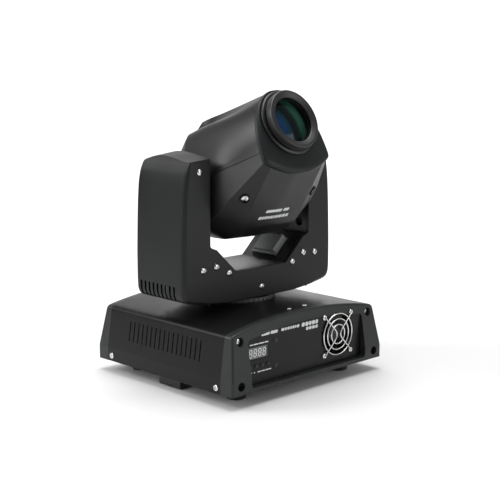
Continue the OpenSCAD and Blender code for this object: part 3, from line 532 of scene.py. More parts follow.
def add_marked_piece(ob, marks, mark_mat, body, slot, nodes=()):
    """A piece with marks joined into it, which keep their own material."""
    ob.data.materials.clear()
    ob.data.materials.append(MATS[slot])
    ob.data.materials.append(mark_mat)
    bm = bmesh.new()
    bm.from_mesh(ob.data)
    for k in marks:
        for p in k.data.polygons:
            p.material_index = 1
        bm.from_mesh(k.data)
        drop(k)
    bm.to_mesh(ob.data)
    bm.free()
    return tag(ob, body, nodes)


SLOT_OF = {s["node"]: s["material_slot"] for s in frame["record"]["subparts"]}
BODY_OF = {n: b for b, ns in frame["record"]["behaviour"]["bodies"].items() for n in ns}

for node, ob in frame["nodes"].items():
    if ob.material_slots:
        for s in ob.material_slots:
            s.material = MATS[SLOT_OF[node]]
    else:
        ob.data.materials.append(MATS[SLOT_OF[node]])


def finish_node(node, width, seg=2, angle=35):
    """A CAD node's own shape with its sharp edges rounded, as a new piece."""
    me = frame["nodes"][node].data.copy()
    me.materials.clear()
    ob = tidy_normals(put(bpy.data.objects.new(node + "_finished", me)), 2e-6)
    bevel(ob, width, seg, angle)
    return add_piece(smooth(ob), BODY_OF[node], SLOT_OF[node], [node])


# ---- sizes shared with the frame, in mm

ZB, HW, HD = 16.0, 135.75, 130.5  # underside, half width and half depth of the base
Z_BAND, Z_CORNER = 34.0, 88.0  # heights where the base's sides start to lean in, and where its arch starts
CX, RISE = 127.75, 13.0  # half width and rise of the arch
ARCH_R = (CX * CX + RISE * RISE) / (2 * RISE)
ARCH_CZ = Z_CORNER + RISE - ARCH_R
PANEL_Y = -121.4
COVER_Y = 109.0  # half length of the sheet cover
FAN_X, FAN_Z = 57.5, 59.7
FAN_HOLES = circle(FAN_X, FAN_Z, 35.36, 8)[1::2]
CAP_SCREWS = ((116, ZB + 63.5), (121, ZB + 11.5))
FRONT_SCREWS = ((100.4, 152), (78.5, 153.9), (57.2, 143.9), (105.5, 274))
MID_SCREW_Z = 118.4
YOKE_Z = 105.0
KEYS = {-98.6: "menu", -88.5: "down", -78.4: "up", -68.3: "enter"}
KEY_Z = 44.8


def arch_z(x, drop_by=0.0):
    r = ARCH_R - drop_by
    return ARCH_CZ + math.sqrt(r * r - x * x)


def base_outline(inset=0.0, z_low=ZB, corner=6.0, n_arch=40):
    """Half open outline of the base in X and Z, from the right foot over the arch to the left foot."""
    side_top = (CX - inset + 0.3, arch_z(CX - inset + 0.3, inset))
    right = fillet([(0, z_low), (HW - inset, z_low), (HW - inset, Z_BAND), side_top, (0, arch_z(0, inset))],
                   [0, 0, 5, max(corner - inset, 1.5), 0], 7)
    i0 = next(i for i, p in enumerate(right) if p[0] > 1)
    run = [p for p in right if p[0] > 1]
    x_start = run[-1][0]
    arch = [(x_start * (1 - k / n_arch), arch_z(x_start * (1 - k / n_arch), inset)) for k in range(1, n_arch)]
    half = run + arch
    return half + [(0, arch_z(0, inset))] + [(-x, z) for x, z in reversed(half)]


# ---- base cover


def strip_solid(name, outer, inner, y0, y1):
    """A bent sheet: outer and inner paths of equal length, pushed along Y."""
    n = len(outer)
    verts = []
    for y in (y0, y1):
        verts += [(p[0], y, p[1]) for p in outer] + [(p[0], y, p[1]) for p in inner]
    o0, i0, o1, i1 = 0, n, 2 * n, 3 * n
    faces = []
    for k in range(n - 1):
        faces.append((o0 + k, o0 + k + 1, o1 + k + 1, o1 + k))
        faces.append((i0 + k, i1 + k, i1 + k + 1, i0 + k + 1))
        faces.append((o0 + k, i0 + k, i0 + k + 1, o0 + k + 1))
        faces.append((o1 + k, o1 + k + 1, i1 + k + 1, i1 + k))
    for k in (0, n - 1):
        faces.append((o0 + k, o1 + k, i1 + k, i0 + k))
    return add_mesh(name, verts, faces)


outer = resample(base_outline(0.0, ZB + 0.2), 150)
inner = resample(base_outline(1.6, ZB + 0.2), 150)
cover = strip_solid("base_cover_sheet", outer, inner, -COVER_Y, COVER_Y)
slots = []
for s in (-1, 1):
    for i in range(17):
        y = -69 + 8.5 * i
        outline = oblong(y - 0.8, y + 0.8, ZB + 33, ZB + 59, 0.75, 4)
        slots.append(prism("slot", outline, "x", s * 131 - 9, s * 131 + 9))
slots.append(rod("z", 0, 0, 60, 120, 47, 96))
boolean(cover, slots)
bevel(cover, 0.35, 2, 50)
add_piece(smooth(cover, 30), "base", "cover_paint", ["base_cover"])

# ---- moulded end caps


def y_front(z):
    """The front of a cap at height z: upright below the band, leaning back above it."""
    return -HD + 9.1 * max(0.0, z - Z_BAND) / (Z_CORNER - Z_BAND)


def cap_solid(name, inset, z_low, y_back, edge_r, push=0.0):
    """The end of the base as a solid, whose front edge is rounded to edge_r."""
    rings = [[(x, y_back, z) for x, z in resample(base_outline(inset, z_low), 150)]]
    steps = 6 if edge_r > 0 else 0
    for k in range(steps + 1):
        t = math.pi / 2 * k / max(steps, 1)
        d_in, d_y = edge_r * (1 - math.cos(t)), edge_r * (1 - math.sin(t))
        ins = resample(base_outline(inset + d_in, z_low + d_in * 0.5, max(6.0 - inset, 2.0)), 150)
        rings.append([(x, y_front(z) + push + d_y, z) for x, z in ins])
    n = len(rings[0])
    last = (len(rings) - 1) * n
    right = max(k for k in range(n // 2) if rings[-1][k][2] <= Z_BAND + 0.01)
    left = n - 1 - right
    faces = ring_faces(len(rings), n) + [tuple(range(n))]
    faces.append(tuple(last + k for k in (*range(right + 1), *range(left, n))))
    faces.append(tuple(last + k for k in range(right, left + 1)))
    return add_mesh(name, [v for r in rings for v in r], faces)


def panel_outline(i=0.0):
    """Outline of the front panel under its arched top, inset by i."""
    w, r_low, r_top = 104 - i, 4.5, 5.0
    arch = [w - 2 * w * k / 40 for k in range(1, 40)]
    arch = [(x, arch_z(x, 13.5 + i)) for x in arch if abs(x) < w - r_top * 1.2]
    top = arch_z(w, 13.5 + i)
    pts = [(-w, ZB + 6 + i), (w, ZB + 6 + i), (w, top), *arch, (-w, top)]
    return fillet(pts, [r_low, r_low, r_top] + [0] * len(arch) + [r_top], 6)


def end_cap(name, front):
    solid = cap_solid(name, 0.0, ZB, -COVER_Y - 0.1, 3.6)
    cavity = cap_solid("cavity", 3.0, ZB + 2.5, -COVER_Y + 1, 0, 3.0)
    screws = [(s * x, z) for s in (-1, 1) for x, z in CAP_SCREWS]
    boolean(cavity, prism("collar", panel_outline(-2.6), "y", -HD - 3, -114.5))
    for x, z in screws:
        boolean(cavity, rod("y", x, z, -HD - 3, -COVER_Y - 0.6, 8))
    boolean(solid, cavity)
    boolean(solid, prism("recess", panel_outline(0), "y", -HD - 5, PANEL_Y + 2.2))
    boolean(solid, prism("through", panel_outline(1.2), "y", PANEL_Y + 1, -100))
    for x, z in screws:
        boolean(solid, rod("y", x, z, -HD - 5, -117.5, 5.6))
        boolean(solid, rod("y", x, z, -118.5, -100, 2))
    if front:
        boolean(solid, rod("y", FAN_X, FAN_Z, -HD - 5, PANEL_Y + 0.1, 28.6, 64))
        for x, z in FAN_HOLES[:2]:
            boolean(solid, rod("y", x, z, -HD - 5, PANEL_Y + 0.1, 4.1, 32))
    return bevel(solid, 0.5, 2, 50, lambda mid: mid.y < -117)


front_cap = end_cap("front_cap", True)
add_piece(smooth(front_cap, 30), "base", "cap_plastic", ["front_end_cap"])
rear_cap = end_cap("rear_cap", False)
rear_cap.data.transform(Matrix.Rotation(math.pi, 4, "Z"))
add_piece(smooth(rear_cap, 30), "base", "cap_plastic", ["rear_end_cap"])

# ---- screws


def screw_mesh(at, direction, r, h, shank_r, shank_l, roll):
    """Domed pan head with a cross recess; direction points out of the head."""
    prof = [(0, h)]
    for k in range(1, 8):
        t = math.pi / 2 * k / 7
        prof.append((r * math.sin(t) ** 0.9, h * (0.28 + 0.72 * math.cos(t) ** 0.8)))
    prof += [(r, 0.0), (shank_r, 0.0), (shank_r, -shank_l), (0, -shank_l)]
    ob = lathe("screw", prof, at_z(0, 0), 28, close=False)
    for a in (0, 90):
        c = box_cut(-r * 0.5, r * 0.5, -r * 0.1, r * 0.1, h * 0.35, h + 1)
        c.data.transform(Matrix.Rotation(math.radians(a), 4, "Z"))
        boolean(ob, c)
    q = Vector((0, 0, 1)).rotation_difference(Vector(direction)).to_matrix().to_4x4()
    ob.data.transform(Matrix.Translation(Vector(at) * MM) @ q @ Matrix.Rotation(math.radians(roll), 4, "Z"))
    return ob


def screw_set(name, specs, body, slot, nodes):
    """Screws as one piece; each spec is place, direction, head radius and height, shank radius and length."""
    ob = join([screw_mesh(*spec, 17 + 31 * k) for k, spec in enumerate(specs)], name)
    tidy_normals(ob, 1e-7)
    return add_piece(smooth(ob, 40, False), body, slot, nodes)


FRONT, BACK, TOP = (0, -1, 0), (0, 1, 0), (0, 0, 1)
specs = [((-55, PANEL_Y, ZB + z), FRONT, 2.9, 1.1, 1.45, 10) for z in (23.3, 55.6)]
screw_set("display_screw_set", specs, "base", "button_plastic", ["panel_screws"])
specs = [((x, PANEL_Y - 0.3, z), FRONT, 3.4, 1.9, 1.6, 12) for x, z in FAN_HOLES]
screw_set("panel_screw_set", specs, "base", "screw_chrome", ["panel_screws"])

specs = []
for s in (-1, 1):
    for f in (-1, 1):
        specs += [((s * x, f * 117.4, z), (0, f, 0), 4.3, 2.2, 1.9, 7) for x, z in CAP_SCREWS]
    specs += [((s * HW, y, ZB + 7.5), (s, 0, 0), 4.0, 1.5, 1.6, 6) for y in (-101.5, 101.5)]
    specs.append(((s * 14, -104, Z_CORNER + RISE - 0.15), TOP, 3.2, 1.6, 1.5, 6))
screw_set("base_screw_set", specs, "base", "screw_chrome", ["base_screws"])

peg_prof = [(0, 101.9), (1.3, 101.9), (1.8, 102.4), (1.8, 104.8), (0, 104.8)]
peg = lathe("peg", peg_prof, at_z(9, -39.2), 24, close=False)
add_piece(smooth(peg, 40, False), "yoke", "button_plastic")

specs = []
for s in (-1, 1):
    specs += [((s * x, -40.3, z), FRONT, 4.2, 2.6, 1.7, 5) for x, z in FRONT_SCREWS]
    specs += [((s * x, 42, z), BACK, 4.2, 2.4, 1.7, 5) for x, z in FRONT_SCREWS[1:3]]
specs.append(((0, -40.3, MID_SCREW_Z), FRONT, 4.2, 2.6, 1.7, 5))
screw_set("yoke_screw_set", specs, "yoke", "screw_chrome", ["yoke_screws"])

# ---- panels


def bar(x0, x1, z0, z1, y, thick=0.12, tilt=0.0, r=None):
    """A printed bar standing a hair proud of a face at y that looks toward -Y."""
    r = r if r is not None else (z1 - z0) * 0.3
    sh = (z1 - z0) * tilt
    outline = [(x0, z0), (x1, z0), (x1 + sh, z1), (x0 + sh, z1)]
    return prism("bar", fillet(outline, r, 3), "y", y - thick, y + 0.05)


def bar_row(x, widths, gap, z0, z1):
    """Leaning bars of the given widths on the front panel, starting at x."""
    row = []
    for w in widths:
        row.append(bar(x, x + w, z0, z1, PANEL_Y, tilt=0.25))
        x += w + gap
    return row


plate = prism("front_plate", panel_outline(0.2), "y", PANEL_Y, PANEL_Y + 2.1)
cuts = [prism("window", oblong(-101.6, -66.4, 53.2, 68.8, 0.8, 3), "y", PANEL_Y - 2, PANEL_Y + 4),
        rod("y", FAN_X, FAN_Z, PANEL_Y - 2, PANEL_Y + 4, 28.5, 72)]
cuts += [rod("y", x, KEY_Z, PANEL_Y - 2, PANEL_Y + 4, 2.4, 24) for x in KEYS]
boolean(plate, cuts)
bevel(plate, 0.35, 2, 50)
smooth(plate, 30)
marks = []
for a, b in ((-99, -93.4), (-92.4, -84.6), (-83.6, -75.2), (-74.2, -67.8)):
    marks.append(bar(a, b, 71.4, 72.9, PANEL_Y))
for a, b in ((-92.2, -90.0), (-86.0, -79.6), (-78.8, -73.2), (-72.4, -62.6)):
    marks.append(bar(a, b, 36.6, 37.9, PANEL_Y))
marks.append(bar(-99.8, -95.6, 37.2, 38.3, PANEL_Y))
marks.append(bar(-98.4, -97.0, 34.4, 36.6, PANEL_Y))
for a, b in ((-80, -66), (-64.4, -52)):
    marks.append(bar(a, b, 80.4, 84.2, PANEL_Y, tilt=0.3, r=1.4))
marks += bar_row(-45.5, (5.2, 3.4, 4.1, 3.2, 3.8, 2.2, 4.4), 0.9, 80.7, 84.3)
marks += bar_row(-9.5, (5.6, 5.8, 4.4, 5.4, 4.6), 1.0, 79.9, 85.0)
marks += bar_row(-1.5, (4.8, 4.6, 5.0, 4.4), 0.9, 74.4, 78.4)
add_marked_piece(plate, marks, PRINT, "base", "panel_gloss", ["front_panel"])

# display: pale window in a dark frame with four seven-segment figures
y0 = PANEL_Y + 0.5
rim = prism("display_frame", oblong(-101.3, -66.7, 53.5, 68.5, 0.8, 3), "y", y0, y0 + 5.5)
boolean(rim, prism("cut", oblong(-100.9, -69.6, 54.1, 67.9, 0.5, 3), "y", y0 - 1, y0 + 1.2))
bevel(rim, 0.2, 2, 50)
add_piece(smooth(rim, 30), "base", "button_plastic", ["display_module"])
win = prism("display_window", oblong(-100.8, -69.7, 54.2, 67.8, 0.4, 3), "y", y0 + 0.35, y0 + 1.15)
bevel(win, 0.15, 2, 50)
smooth(win, 30)


def segment(x, z, half_w, half_h):
    """One lit bar of a figure, z above the middle of the display, shifted as the figures lean."""
    x += 0.1 * z
    z += 61
    return bar(x - half_w, x + half_w, z - half_h, z + half_h, y0 + 0.35, 0.1, 0, 0.2)


FIGURE_W, FIGURE_H, STROKE = 2.1, 4.4, 0.85
digits = []
for x in (-96.6, -89.0, -81.4, -73.8):
    for z in (-FIGURE_H, 0, FIGURE_H):
        digits.append(segment(x, z, FIGURE_W - 0.4, STROKE / 2))
    for side in (-FIGURE_W, FIGURE_W):
        for z in (-FIGURE_H / 2, FIGURE_H / 2):
            digits.append(segment(x + side, z, STROKE / 2, FIGURE_H / 2 - 0.6))
add_marked_piece(win, digits, DIGIT, "base", "display_face")

key_prof = [(0, -1.75), (0.9, -1.72), (1.7, -1.5), (2.05, -1.1), (2.2, -0.4), (2.2, 3.0), (1.6, 4.6), (0, 4.6)]
key_prof = [(r, PANEL_Y + y) for r, y in key_prof]
for x, key in KEYS.items():
    cap = lathe("key_" + key, key_prof, at_y(x, KEY_Z), 32, close=False)
    add_piece(smooth(cap, 40), key + "_key", "button_plastic", ["button_" + key])

# fan guard: three rings and two bent wires that end in eyes
gy = PANEL_Y - 1.7
parts = []
for r in (12.5, 20, 27):
    parts.append(wire("ring", [(x, gy, z) for x, z in circle(FAN_X, FAN_Z, r, 72)], 0.95, 12, True))
BENT = [(24.2, -0.1, 24.6), (21.0, -0.6, 21.0), (13.5, -0.75, 13.6), (5.2, -0.75, 5.4)]
for s in (-1, 1):
    bent = BENT + [(3.0, -0.75, 0)] + [(x, y, -z) for x, y, z in reversed(BENT)]
    path = resample(chaikin([(s * x, y, z) for x, y, z in bent], 3), 60)
    parts.append(wire("spoke", [(FAN_X + x, gy - 0.55 + y, FAN_Z + z) for x, y, z in path], 0.95, 12))
    for t in (-1, 1):
        eye = circle(FAN_X + s * 25.0, FAN_Z + t * 25.0, 2.6, 28)
        parts.append(wire("eye", [(x, gy + 0.35, z) for x, z in eye], 0.8, 10, True))
add_piece(smooth(join(parts, "guard_wires"), 60, False), "base", "guard_chrome", ["fan_guard"])

# fan: square frame with a flared throat, and a rotor with seven swept blades
outline = oblong(FAN_X - 30, FAN_X + 30, FAN_Z - 30, FAN_Z + 30, 3, 5)
fan = prism("fan_case", outline, "y", PANEL_Y + 2.3, PANEL_Y + 17)
throat = [(0, -1), (28.4, -1), (28.4, 2.2), (27.6, 4.5), (27.6, 20), (0, 20)]
boolean(fan, lathe("throat", [(r, PANEL_Y + y) for r, y in throat], at_y(FAN_X, FAN_Z), 72, close=False))
for x, z in FAN_HOLES:
    boolean(fan, rod("y", x, z, PANEL_Y - 1, PANEL_Y + 20, 1.8, 20))
boolean(fan, rod("y", FAN_X, FAN_Z, PANEL_Y + 14, PANEL_Y + 17, 11, 48), "UNION")
for a in range(20, 380, 90):
    arm = box_cut(8, 29, PANEL_Y + 14, PANEL_Y + 17, -1.5, 1.5)
    at_hub = Matrix.Translation((FAN_X * MM, 0, FAN_Z * MM))
    arm.data.transform(at_hub @ Matrix.Rotation(math.radians(a), 4, "Y"))
    boolean(fan, arm, "UNION")
add_piece(smooth(fan, 35), "base", "fan_plastic", ["fan_frame"])


def rotor(name, hub_r, tip_r, depth, hub_h, blades, placing):
    """A fan rotor turned about +Y of its own frame, then placed by a matrix."""
    hub_prof = [(0, 0), (hub_r - 1.2, 0), (hub_r, 1.2), (hub_r, hub_h), (0, hub_h)]
    obs = [lathe("hub", hub_prof, at_y(0, 0), 48, close=False)]
    nr, nc = 8, 6
    w = nc + 1
    top = (nr + 1) * w
    for b in range(blades):
        verts, faces = [], []
        for lift in (-0.45, 0.45):
            for i in range(nr + 1):
                r = hub_r - 0.6 + (tip_r - hub_r + 0.6) * i / nr
                sweep = 0.5 * (i / nr) ** 1.3
                chord = 0.62 + 0.1 * i / nr
                for k in range(nc + 1):
                    u = k / nc
                    ang = b * 2 * math.pi / blades + sweep + chord * (u - 0.5)
                    camber = 0.9 * math.sin(math.pi * u)
                    y = hub_h * 0.5 + (u - 0.5) * depth + camber + lift
                    verts.append((r * math.cos(ang), y, r * math.sin(ang)))
        for i in range(nr):
            for k in range(nc):
                a0 = i * w + k
                faces.append((a0, a0 + 1, a0 + w + 1, a0 + w))
                faces.append((top + a0, top + a0 + w, top + a0 + w + 1, top + a0 + 1))
        for a0 in [i * w + k for i in range(nr) for k in (0, nc)]:
            faces.append((a0, a0 + w, top + a0 + w, top + a0))
        for a0 in [i * w + k for k in range(nc) for i in (0, nr)]:
            faces.append((a0, a0 + 1, top + a0 + 1, top + a0))
        obs.append(add_mesh("blade", verts, faces))
    ob = join(obs, name)
    ob.data.transform(placing)
    return smooth(ob, 40, False)


placing = Matrix.Translation(Vector((FAN_X, PANEL_Y + 4, FAN_Z)) * MM)
base_rotor = rotor("base_fan_blades", 11, 26, 9.0, 9.4, 7, placing)
add_piece(base_rotor, "base_fan", "fan_plastic", ["base_fan_rotor"])

# rear panel and its sockets
plate = prism("rear_plate", panel_outline(0.2), "y", -PANEL_Y - 2.1, -PANEL_Y)
cuts = [prism("inlet", oblong(58, 87, 34, 56, 1.0, 3), "y", -PANEL_Y - 5, -PANEL_Y + 2)]
cuts += [rod("y", x, 49, -PANEL_Y - 5, -PANEL_Y + 2, 11.6, 48) for x in (-70, -35)]
boolean(plate, cuts)
bevel(plate, 0.35, 2, 50)
smooth(plate, 30)
marks = []
for a, b in ((62, 68), (69, 80), (-82, -60), (-45, -26)):
    mark = bar(a, b, 65, 66.6, 0)
    mark.data.transform(Matrix.Translation((0, -PANEL_Y * MM, 0)) @ Matrix.Rotation(math.pi, 4, "Z"))
    marks.append(mark)
add_marked_piece(plate, marks, PRINT, "base", "panel_gloss", ["rear_panel"])
finish_node("power_inlet", 0.5, 2, 40)
finish_node("data_in_socket", 0.4, 2, 40)
finish_node("data_out_socket", 0.4, 2, 40)

# ---- underside and pan collar

FOOT = [(0, 0.0), (10.4, 0.0), (11.8, 0.5), (12.5, 1.8), (12.5, 13.2), (12.1, 14.8), (11.2, 15.8), (3, 15.9),
        (3, 21), (0, 21)]
feet = []
for x in (-93.8, 93.8):
    for y in (-92, 92):
        foot = lathe("foot", FOOT, at_z(x, y), 48, close=False)
        boolean(foot, lathe("ring", [(7.4, -1), (8.6, -1), (8.6, 0.8), (7.4, 0.8)], at_z(x, y), 40))
        feet.append(foot)
add_piece(smooth(join(feet, "feet_rubber"), 40), "base", "foot_rubber", ["rubber_feet"])
finish_node("omega_bracket", 0.8, 3, 50)
finish_node("bracket_locks", 0.4, 2, 50)
finish_node("base_tray", 0.4, 2, 60)
finish_node("pan_bearing", 0.35, 2, 50)

# ---- yoke

YOKE_SIDE = [(0, 105.0), (60, 105.0), (90, 107.7), (112, 110.8), (124.6, 113.4), (130.2, 118), (132.2, 125),
             (132.4, 142), (132.4, 161), (131.5, 198), (130.4, 227), (128.5, 255), (126, 271), (122.5, 282)]


def mirrored(half):
    """A closed outline from its right half, whose first and last points lie on the centre line."""
    return half + [(-x, z) for x, z in reversed(half[1:-1])]


def inset(pts, widths):
    """Each corner of a closed outline moved inwards by its own width."""
    n = len(pts)
    sgn = 1 if area2(pts) > 0 else -1
    out = []
    for i in range(n):
        p0, p1, p2 = Vector(pts[i - 1]), Vector(pts[i]), Vector(pts[(i + 1) % n])
        d0, d1 = (p1 - p0).normalized(), (p2 - p1).normalized()
        n0, n1 = Vector((-d0.y, d0.x)) * sgn, Vector((-d1.y, d1.x)) * sgn
        m = n0 + n1
        m = m.normalized() if m.length > 1e-6 else n0
        k = 1 / max(0.6, m.dot(n0))
        out.append(p1 + m * (widths[i] * k))
    return out


def faced_plate(name, pts, widths, y_front, y_back, steps):
    """A plate facing -Y whose front corner is cut back by a width that may vary around the outline."""
    n = len(pts)
    verts = [(x, y_back, z) for x, z in pts]
    for f, d in steps:
        for q, w in zip(inset(pts, [w * d for w in widths]), widths):
            verts.append((q[0], y_front + min(w * 0.82, y_back - y_front - 0.1) * f, q[1]))
    faces = ring_faces(len(steps) + 1, n)
    for first in (0, len(steps) * n):
        flat = [Vector((verts[first + i][0], verts[first + i][2], 0)) for i in range(n)]
        faces += [tuple(first + k for k in t) for t in tessellate_polygon([flat])]
    return tidy_normals(add_mesh(name, verts, faces), 1e-7)


CORNER_CUT = [(105, (2.4,)), (112, (3.4,)), (120, (4.6,)), (268, (4.6,)), (278, (3.2,)), (284.5, (1.2,)),
              (287.2, (0.7,))]


def cover_edge(x, z, inside):
    """How wide the front cover's outer corner is cut back at a point of its outline."""
    if inside:
        return 0.7
    if x > 100:
        return max(0.6, cubic(CORNER_CUT, z)[0])
    return 1.0 + 1.4 * max(0.0, x / 100) ** 2


side = [YOKE_SIDE[0], (40, 105.0), YOKE_SIDE[1]] + chaikin(YOKE_SIDE[2:] + [(120.6, 287.2)], 2)
gap = [side[-1], (88.2, 289.7), (88.2, 179.2), (77.5, 175.2), (44.8, 144.3), (0, 144.3)]
half = side + fillet(gap, [0, 0.8, 5, 3, 2, 0], 5)[1:]
cut_back = [cover_edge(x, z, i >= len(side)) for i, (x, z) in enumerate(half)]
cut_back += list(reversed(cut_back[1:-1]))
front_u = faced_plate("front_u", mirrored(half), cut_back, -41.2, -37.1,
                      [(1.0, 0.0), (0.9, 0.035), (0.12, 0.84), (0.05, 0.91), (0.012, 0.965), (0.0, 1.03)])
holes = [(s * x, z) for s in (-1, 1) for x, z in FRONT_SCREWS] + [(0, MID_SCREW_Z)]
boolean(front_u, [rod("y", x, z, -45, -40.2, 4.7, 32) for x, z in holes])
add_piece(smooth(front_u, 24), "yoke", "yoke_plastic", ["yoke_front_cover"])

SIDE_KEYS = [(107.3, (88.4,))] + [(z, (x,)) for x, z in YOKE_SIDE if z > 107.6]
SIDE_KEYS += [(287.2, (120.4,)), (292.6, (118.6,)), (296.0, (117.6,))]
# the arm's rounded top as (y, z), from front to rear
ARM_TOP = [(-36.9, 286.6), (-24.6, 288.2), (-9.4, 290.6), (5.7, 292.2), (12.0, 292.4), (18.3, 292.2), (29, 290.6),
           (36.4, 288.6), (45.6, 285.2)]
ARM_BACK = [(105, (47.0,)), (120, (49.2,)), (145, (50.0,)), (225, (50.0,)), (255, (49.9,)), (271, (49.3,)),
            (280, (48.2,)), (283.6, (47.2,)), (285.2, (45.6,))]
ARM_FRONT_KEYS = [(z, (y,)) for y, z in ARM_TOP[:5]]
ARM_REAR_KEYS = ARM_BACK + [(z, (y,)) for y, z in reversed(ARM_TOP[4:8])]
ARM_CREST = ARM_TOP[4][1]


def arc_points(cx, cy, r, start, n):
    """n points of a quarter circle after its start, counter-clockwise."""
    return [(cx + r * math.cos(start + math.pi / 2 * k / n), cy + r * math.sin(start + math.pi / 2 * k / n))
            for k in range(1, n + 1)]


def arm_ring(z):
    """The open outline of an arm cover at height z: front, outer side and rear."""
    xi, xo = 88.3, cubic(SIDE_KEYS, z)[0]
    yf = cubic(ARM_FRONT_KEYS, min(z, ARM_CREST))[0]
    yr = cubic(ARM_REAR_KEYS, min(z, ARM_CREST))[0]
    wid, dep = max(xo - xi, 0.05), max(yr - yf, 0.05)
    rr, rf = min(2.2, dep * 0.12), min(1.0, dep * 0.12)
    pts = [(xi + (wid - rf) * k / 4, yf) for k in range(5)]
    pts += arc_points(xo - rf, yf + rf, rf, -math.pi / 2, 6)
    pts += [(xo, yf + rf + (dep - rf - rr) * k / 9) for k in range(1, 10)]
    pts += arc_points(xo - rr, yr - rr, rr, 0, 8)
    pts += [(xo - rr - (wid - rr) * k / 4, yr) for k in range(1, 5)]
    return [(x, y, z) for x, y in pts]


def arm_shell(name):
    zs = [107.35 + 20 * (k / 26) ** 1.6 for k in range(26)]
    zs += [127.35 + 152 * k / 40 for k in range(40)]
    zs += [279.35 + 13.04 * math.sin(math.pi / 2 * k / 40) for k in range(41)]
    rings = [arm_ring(z) for z in zs]
    ob = add_mesh(name, [v for r in rings for v in r], ring_faces(len(rings), len(rings[0]), False))
    me = ob.data
    for v in me.vertices:
        x, z = v.co.x / MM, v.co.z / MM
        lift = min(1.0, max(0.0, (z - 262) / 24)) ** 2
        v.co.z += max(0.0, 118.6 - x) * 0.115 * lift * MM
    me.update()
    if sum(1 if p.normal.x > 0 else -1 for p in me.polygons if abs(p.normal.x) > 0.9) < 0:
        me.flip_normals()
    wall(ob, 2.4)
    cuts = []
    for i in range(9):
        y = 41.0 - 7.9 * i
        cuts.append(prism("slot", oblong(y - 1.7, y + 1.7, YOKE_Z + 9.5, YOKE_Z + 29, 1.5, 4), "x", 112, 140))
    return boolean(ob, cuts)


arm = arm_shell("arm_cover_right")
left = arm_shell("arm_cover_left")
left.data.transform(Matrix.Scale(-1, 4, (1, 0, 0)))
left.data.flip_normals()
for ob, node in ((arm, "right_arm_cover"), (left, "left_arm_cover")):
    add_piece(smooth(ob, 35), "yoke", "arm_plastic", [node])

finish_node("yoke_trough", 0.5, 2, 50)
finish_node("yoke_bottom_plate", 0.4, 2, 50)
finish_node("yoke_rear_cover", 0.6, 2, 50)
finish_node("cable_clamp", 0.6, 3, 50)
finish_node("tilt_axles", 0.4, 2, 50)

# ---- head shells: half outlines as (x, height) at stations along the beam, from the joint line outwards

UP = {
    106: [(56, 0), (56, 14), (52, 31), (45, 47), (36, 61), (28.5, 68.4)],
    43: [(80, 0), (79.5, 5), (67, 34), (49, 66), (36, 72), (30.5, 73.6)],
    12: [(82, 0), (62, 48), (48, 73), (34, 77), (31, 77.7)],
    -18: [(82, 0), (59, 56), (47, 76), (34, 79.4), (31, 80)],
    -36: [(81, 0), (57, 50), (45, 67), (32, 70.2), (30, 70.5)],
    -50: [(76, 0), (54, 44), (42, 57), (32, 58), (28, 58.4)],
    -66: [(64, 0), (48, 30), (40, 39), (30, 39.8), (26, 40)],
    -78: [(44, 0), (41, 6), (40, 10), (30, 10.8), (24, 11)],
}
# the ridge: X and height of its top edge, and height of its crest
RIDGE = [(106, (21.0, 72.6, 79.0)), (92, (20.0, 75.2, 81.2)), (79, (19.0, 77.2, 83.0)), (62, (18.2, 80.3, 84.8)),
         (44, (18.4, 83.0, 86.2)), (26, (21.5, 84.6, 87.2)), (10, (27.0, 85.7, 87.8)), (0, (29.2, 86.0, 88.0)),
         (-3, (29.3, 85.4, 87.4)), (-15, (29.8, 80.6, 82.0)), (-18, (30.0, 80.3, 81.5)), (-36, (29.0, 70.8, 71.5)),
         (-50, (27.0, 58.8, 60.5)), (-66, (25.0, 40.3, 42.0)), (-78, (23.0, 11.2, 12.0))]
LOW = {
    106: [(56, 0), (56.5, -13), (46.5, -19.5), (0, -22.5)],
    85: [(64.4, 0), (65, -23), (47.5, -32.8), (0, -35.5)],
    43: [(80, 0), (80, -41.5), (47.5, -59.3), (0, -60.2)],
    27: [(82, 0), (82, -48), (47, -69), (0, -69.6)],
    0: [(82, 0), (82, -49), (46.5, -72.5), (0, -73.6)],
    -27: [(82, 0), (80.5, -43), (44, -63.5), (0, -65.2)],
    -50: [(76, 0), (71, -30), (42, -50.5), (0, -51.6)],
    -66: [(64, 0), (59, -18), (40, -34), (0, -34.6)],
    -78: [(44, 0), (40, -10), (20, -10.5), (0, -11)],
}
N_SIDE = 26
REAR_EDGE = -18  # station where the top turns down to the rear, with a crisp edge
JOINT = 0.22  # half the gap between the shells


def same_part(st, a):
    """Whether station st shapes the outline at a, without rounding the rear edge."""
    return st >= REAR_EDGE if a >= REAR_EDGE else st <= REAR_EDGE


def up_ring(a):
    keys = []
    for st, pts in UP.items():
        if same_part(st, a):
            s = resample(chaikin(pts, 3), N_SIDE)
            keys.append((st, tuple(c for p in s for c in p)))
    flat = cubic(keys, a)
    side = [(flat[2 * i], flat[2 * i + 1]) for i in range(N_SIDE + 1)]
    side[0] = (side[0][0], JOINT)
    rx, rh, rc = cubic([k for k in RIDGE if same_part(k[0], a)], a)
    fx, fh = side[-1]
    foot = [(fx + (rx - fx) * k / 3, fh + (rh - fh) * k / 3) for k in range(1, 4)]
    top = [(rx * (1 - k / 8), rh + (rc - rh) * math.sin(k / 8 * math.pi / 2)) for k in range(1, 9)]
    return side + foot + top


def low_ring(a):
    f = cubic([(st, tuple(c for p in pts for c in p)) for st, pts in LOW.items()], a)
    p = [(f[0], -JOINT), (f[2], f[3]), (f[4], f[5]), (f[6], f[7])]
    out = [p[0]]
    for (px, ph), (qx, qh), count in zip(p, p[1:], (8, 6, 8)):
        out += [(px + (qx - px) * k / count, ph + (qh - ph) * k / count) for k in range(1, count + 1)]
    return out


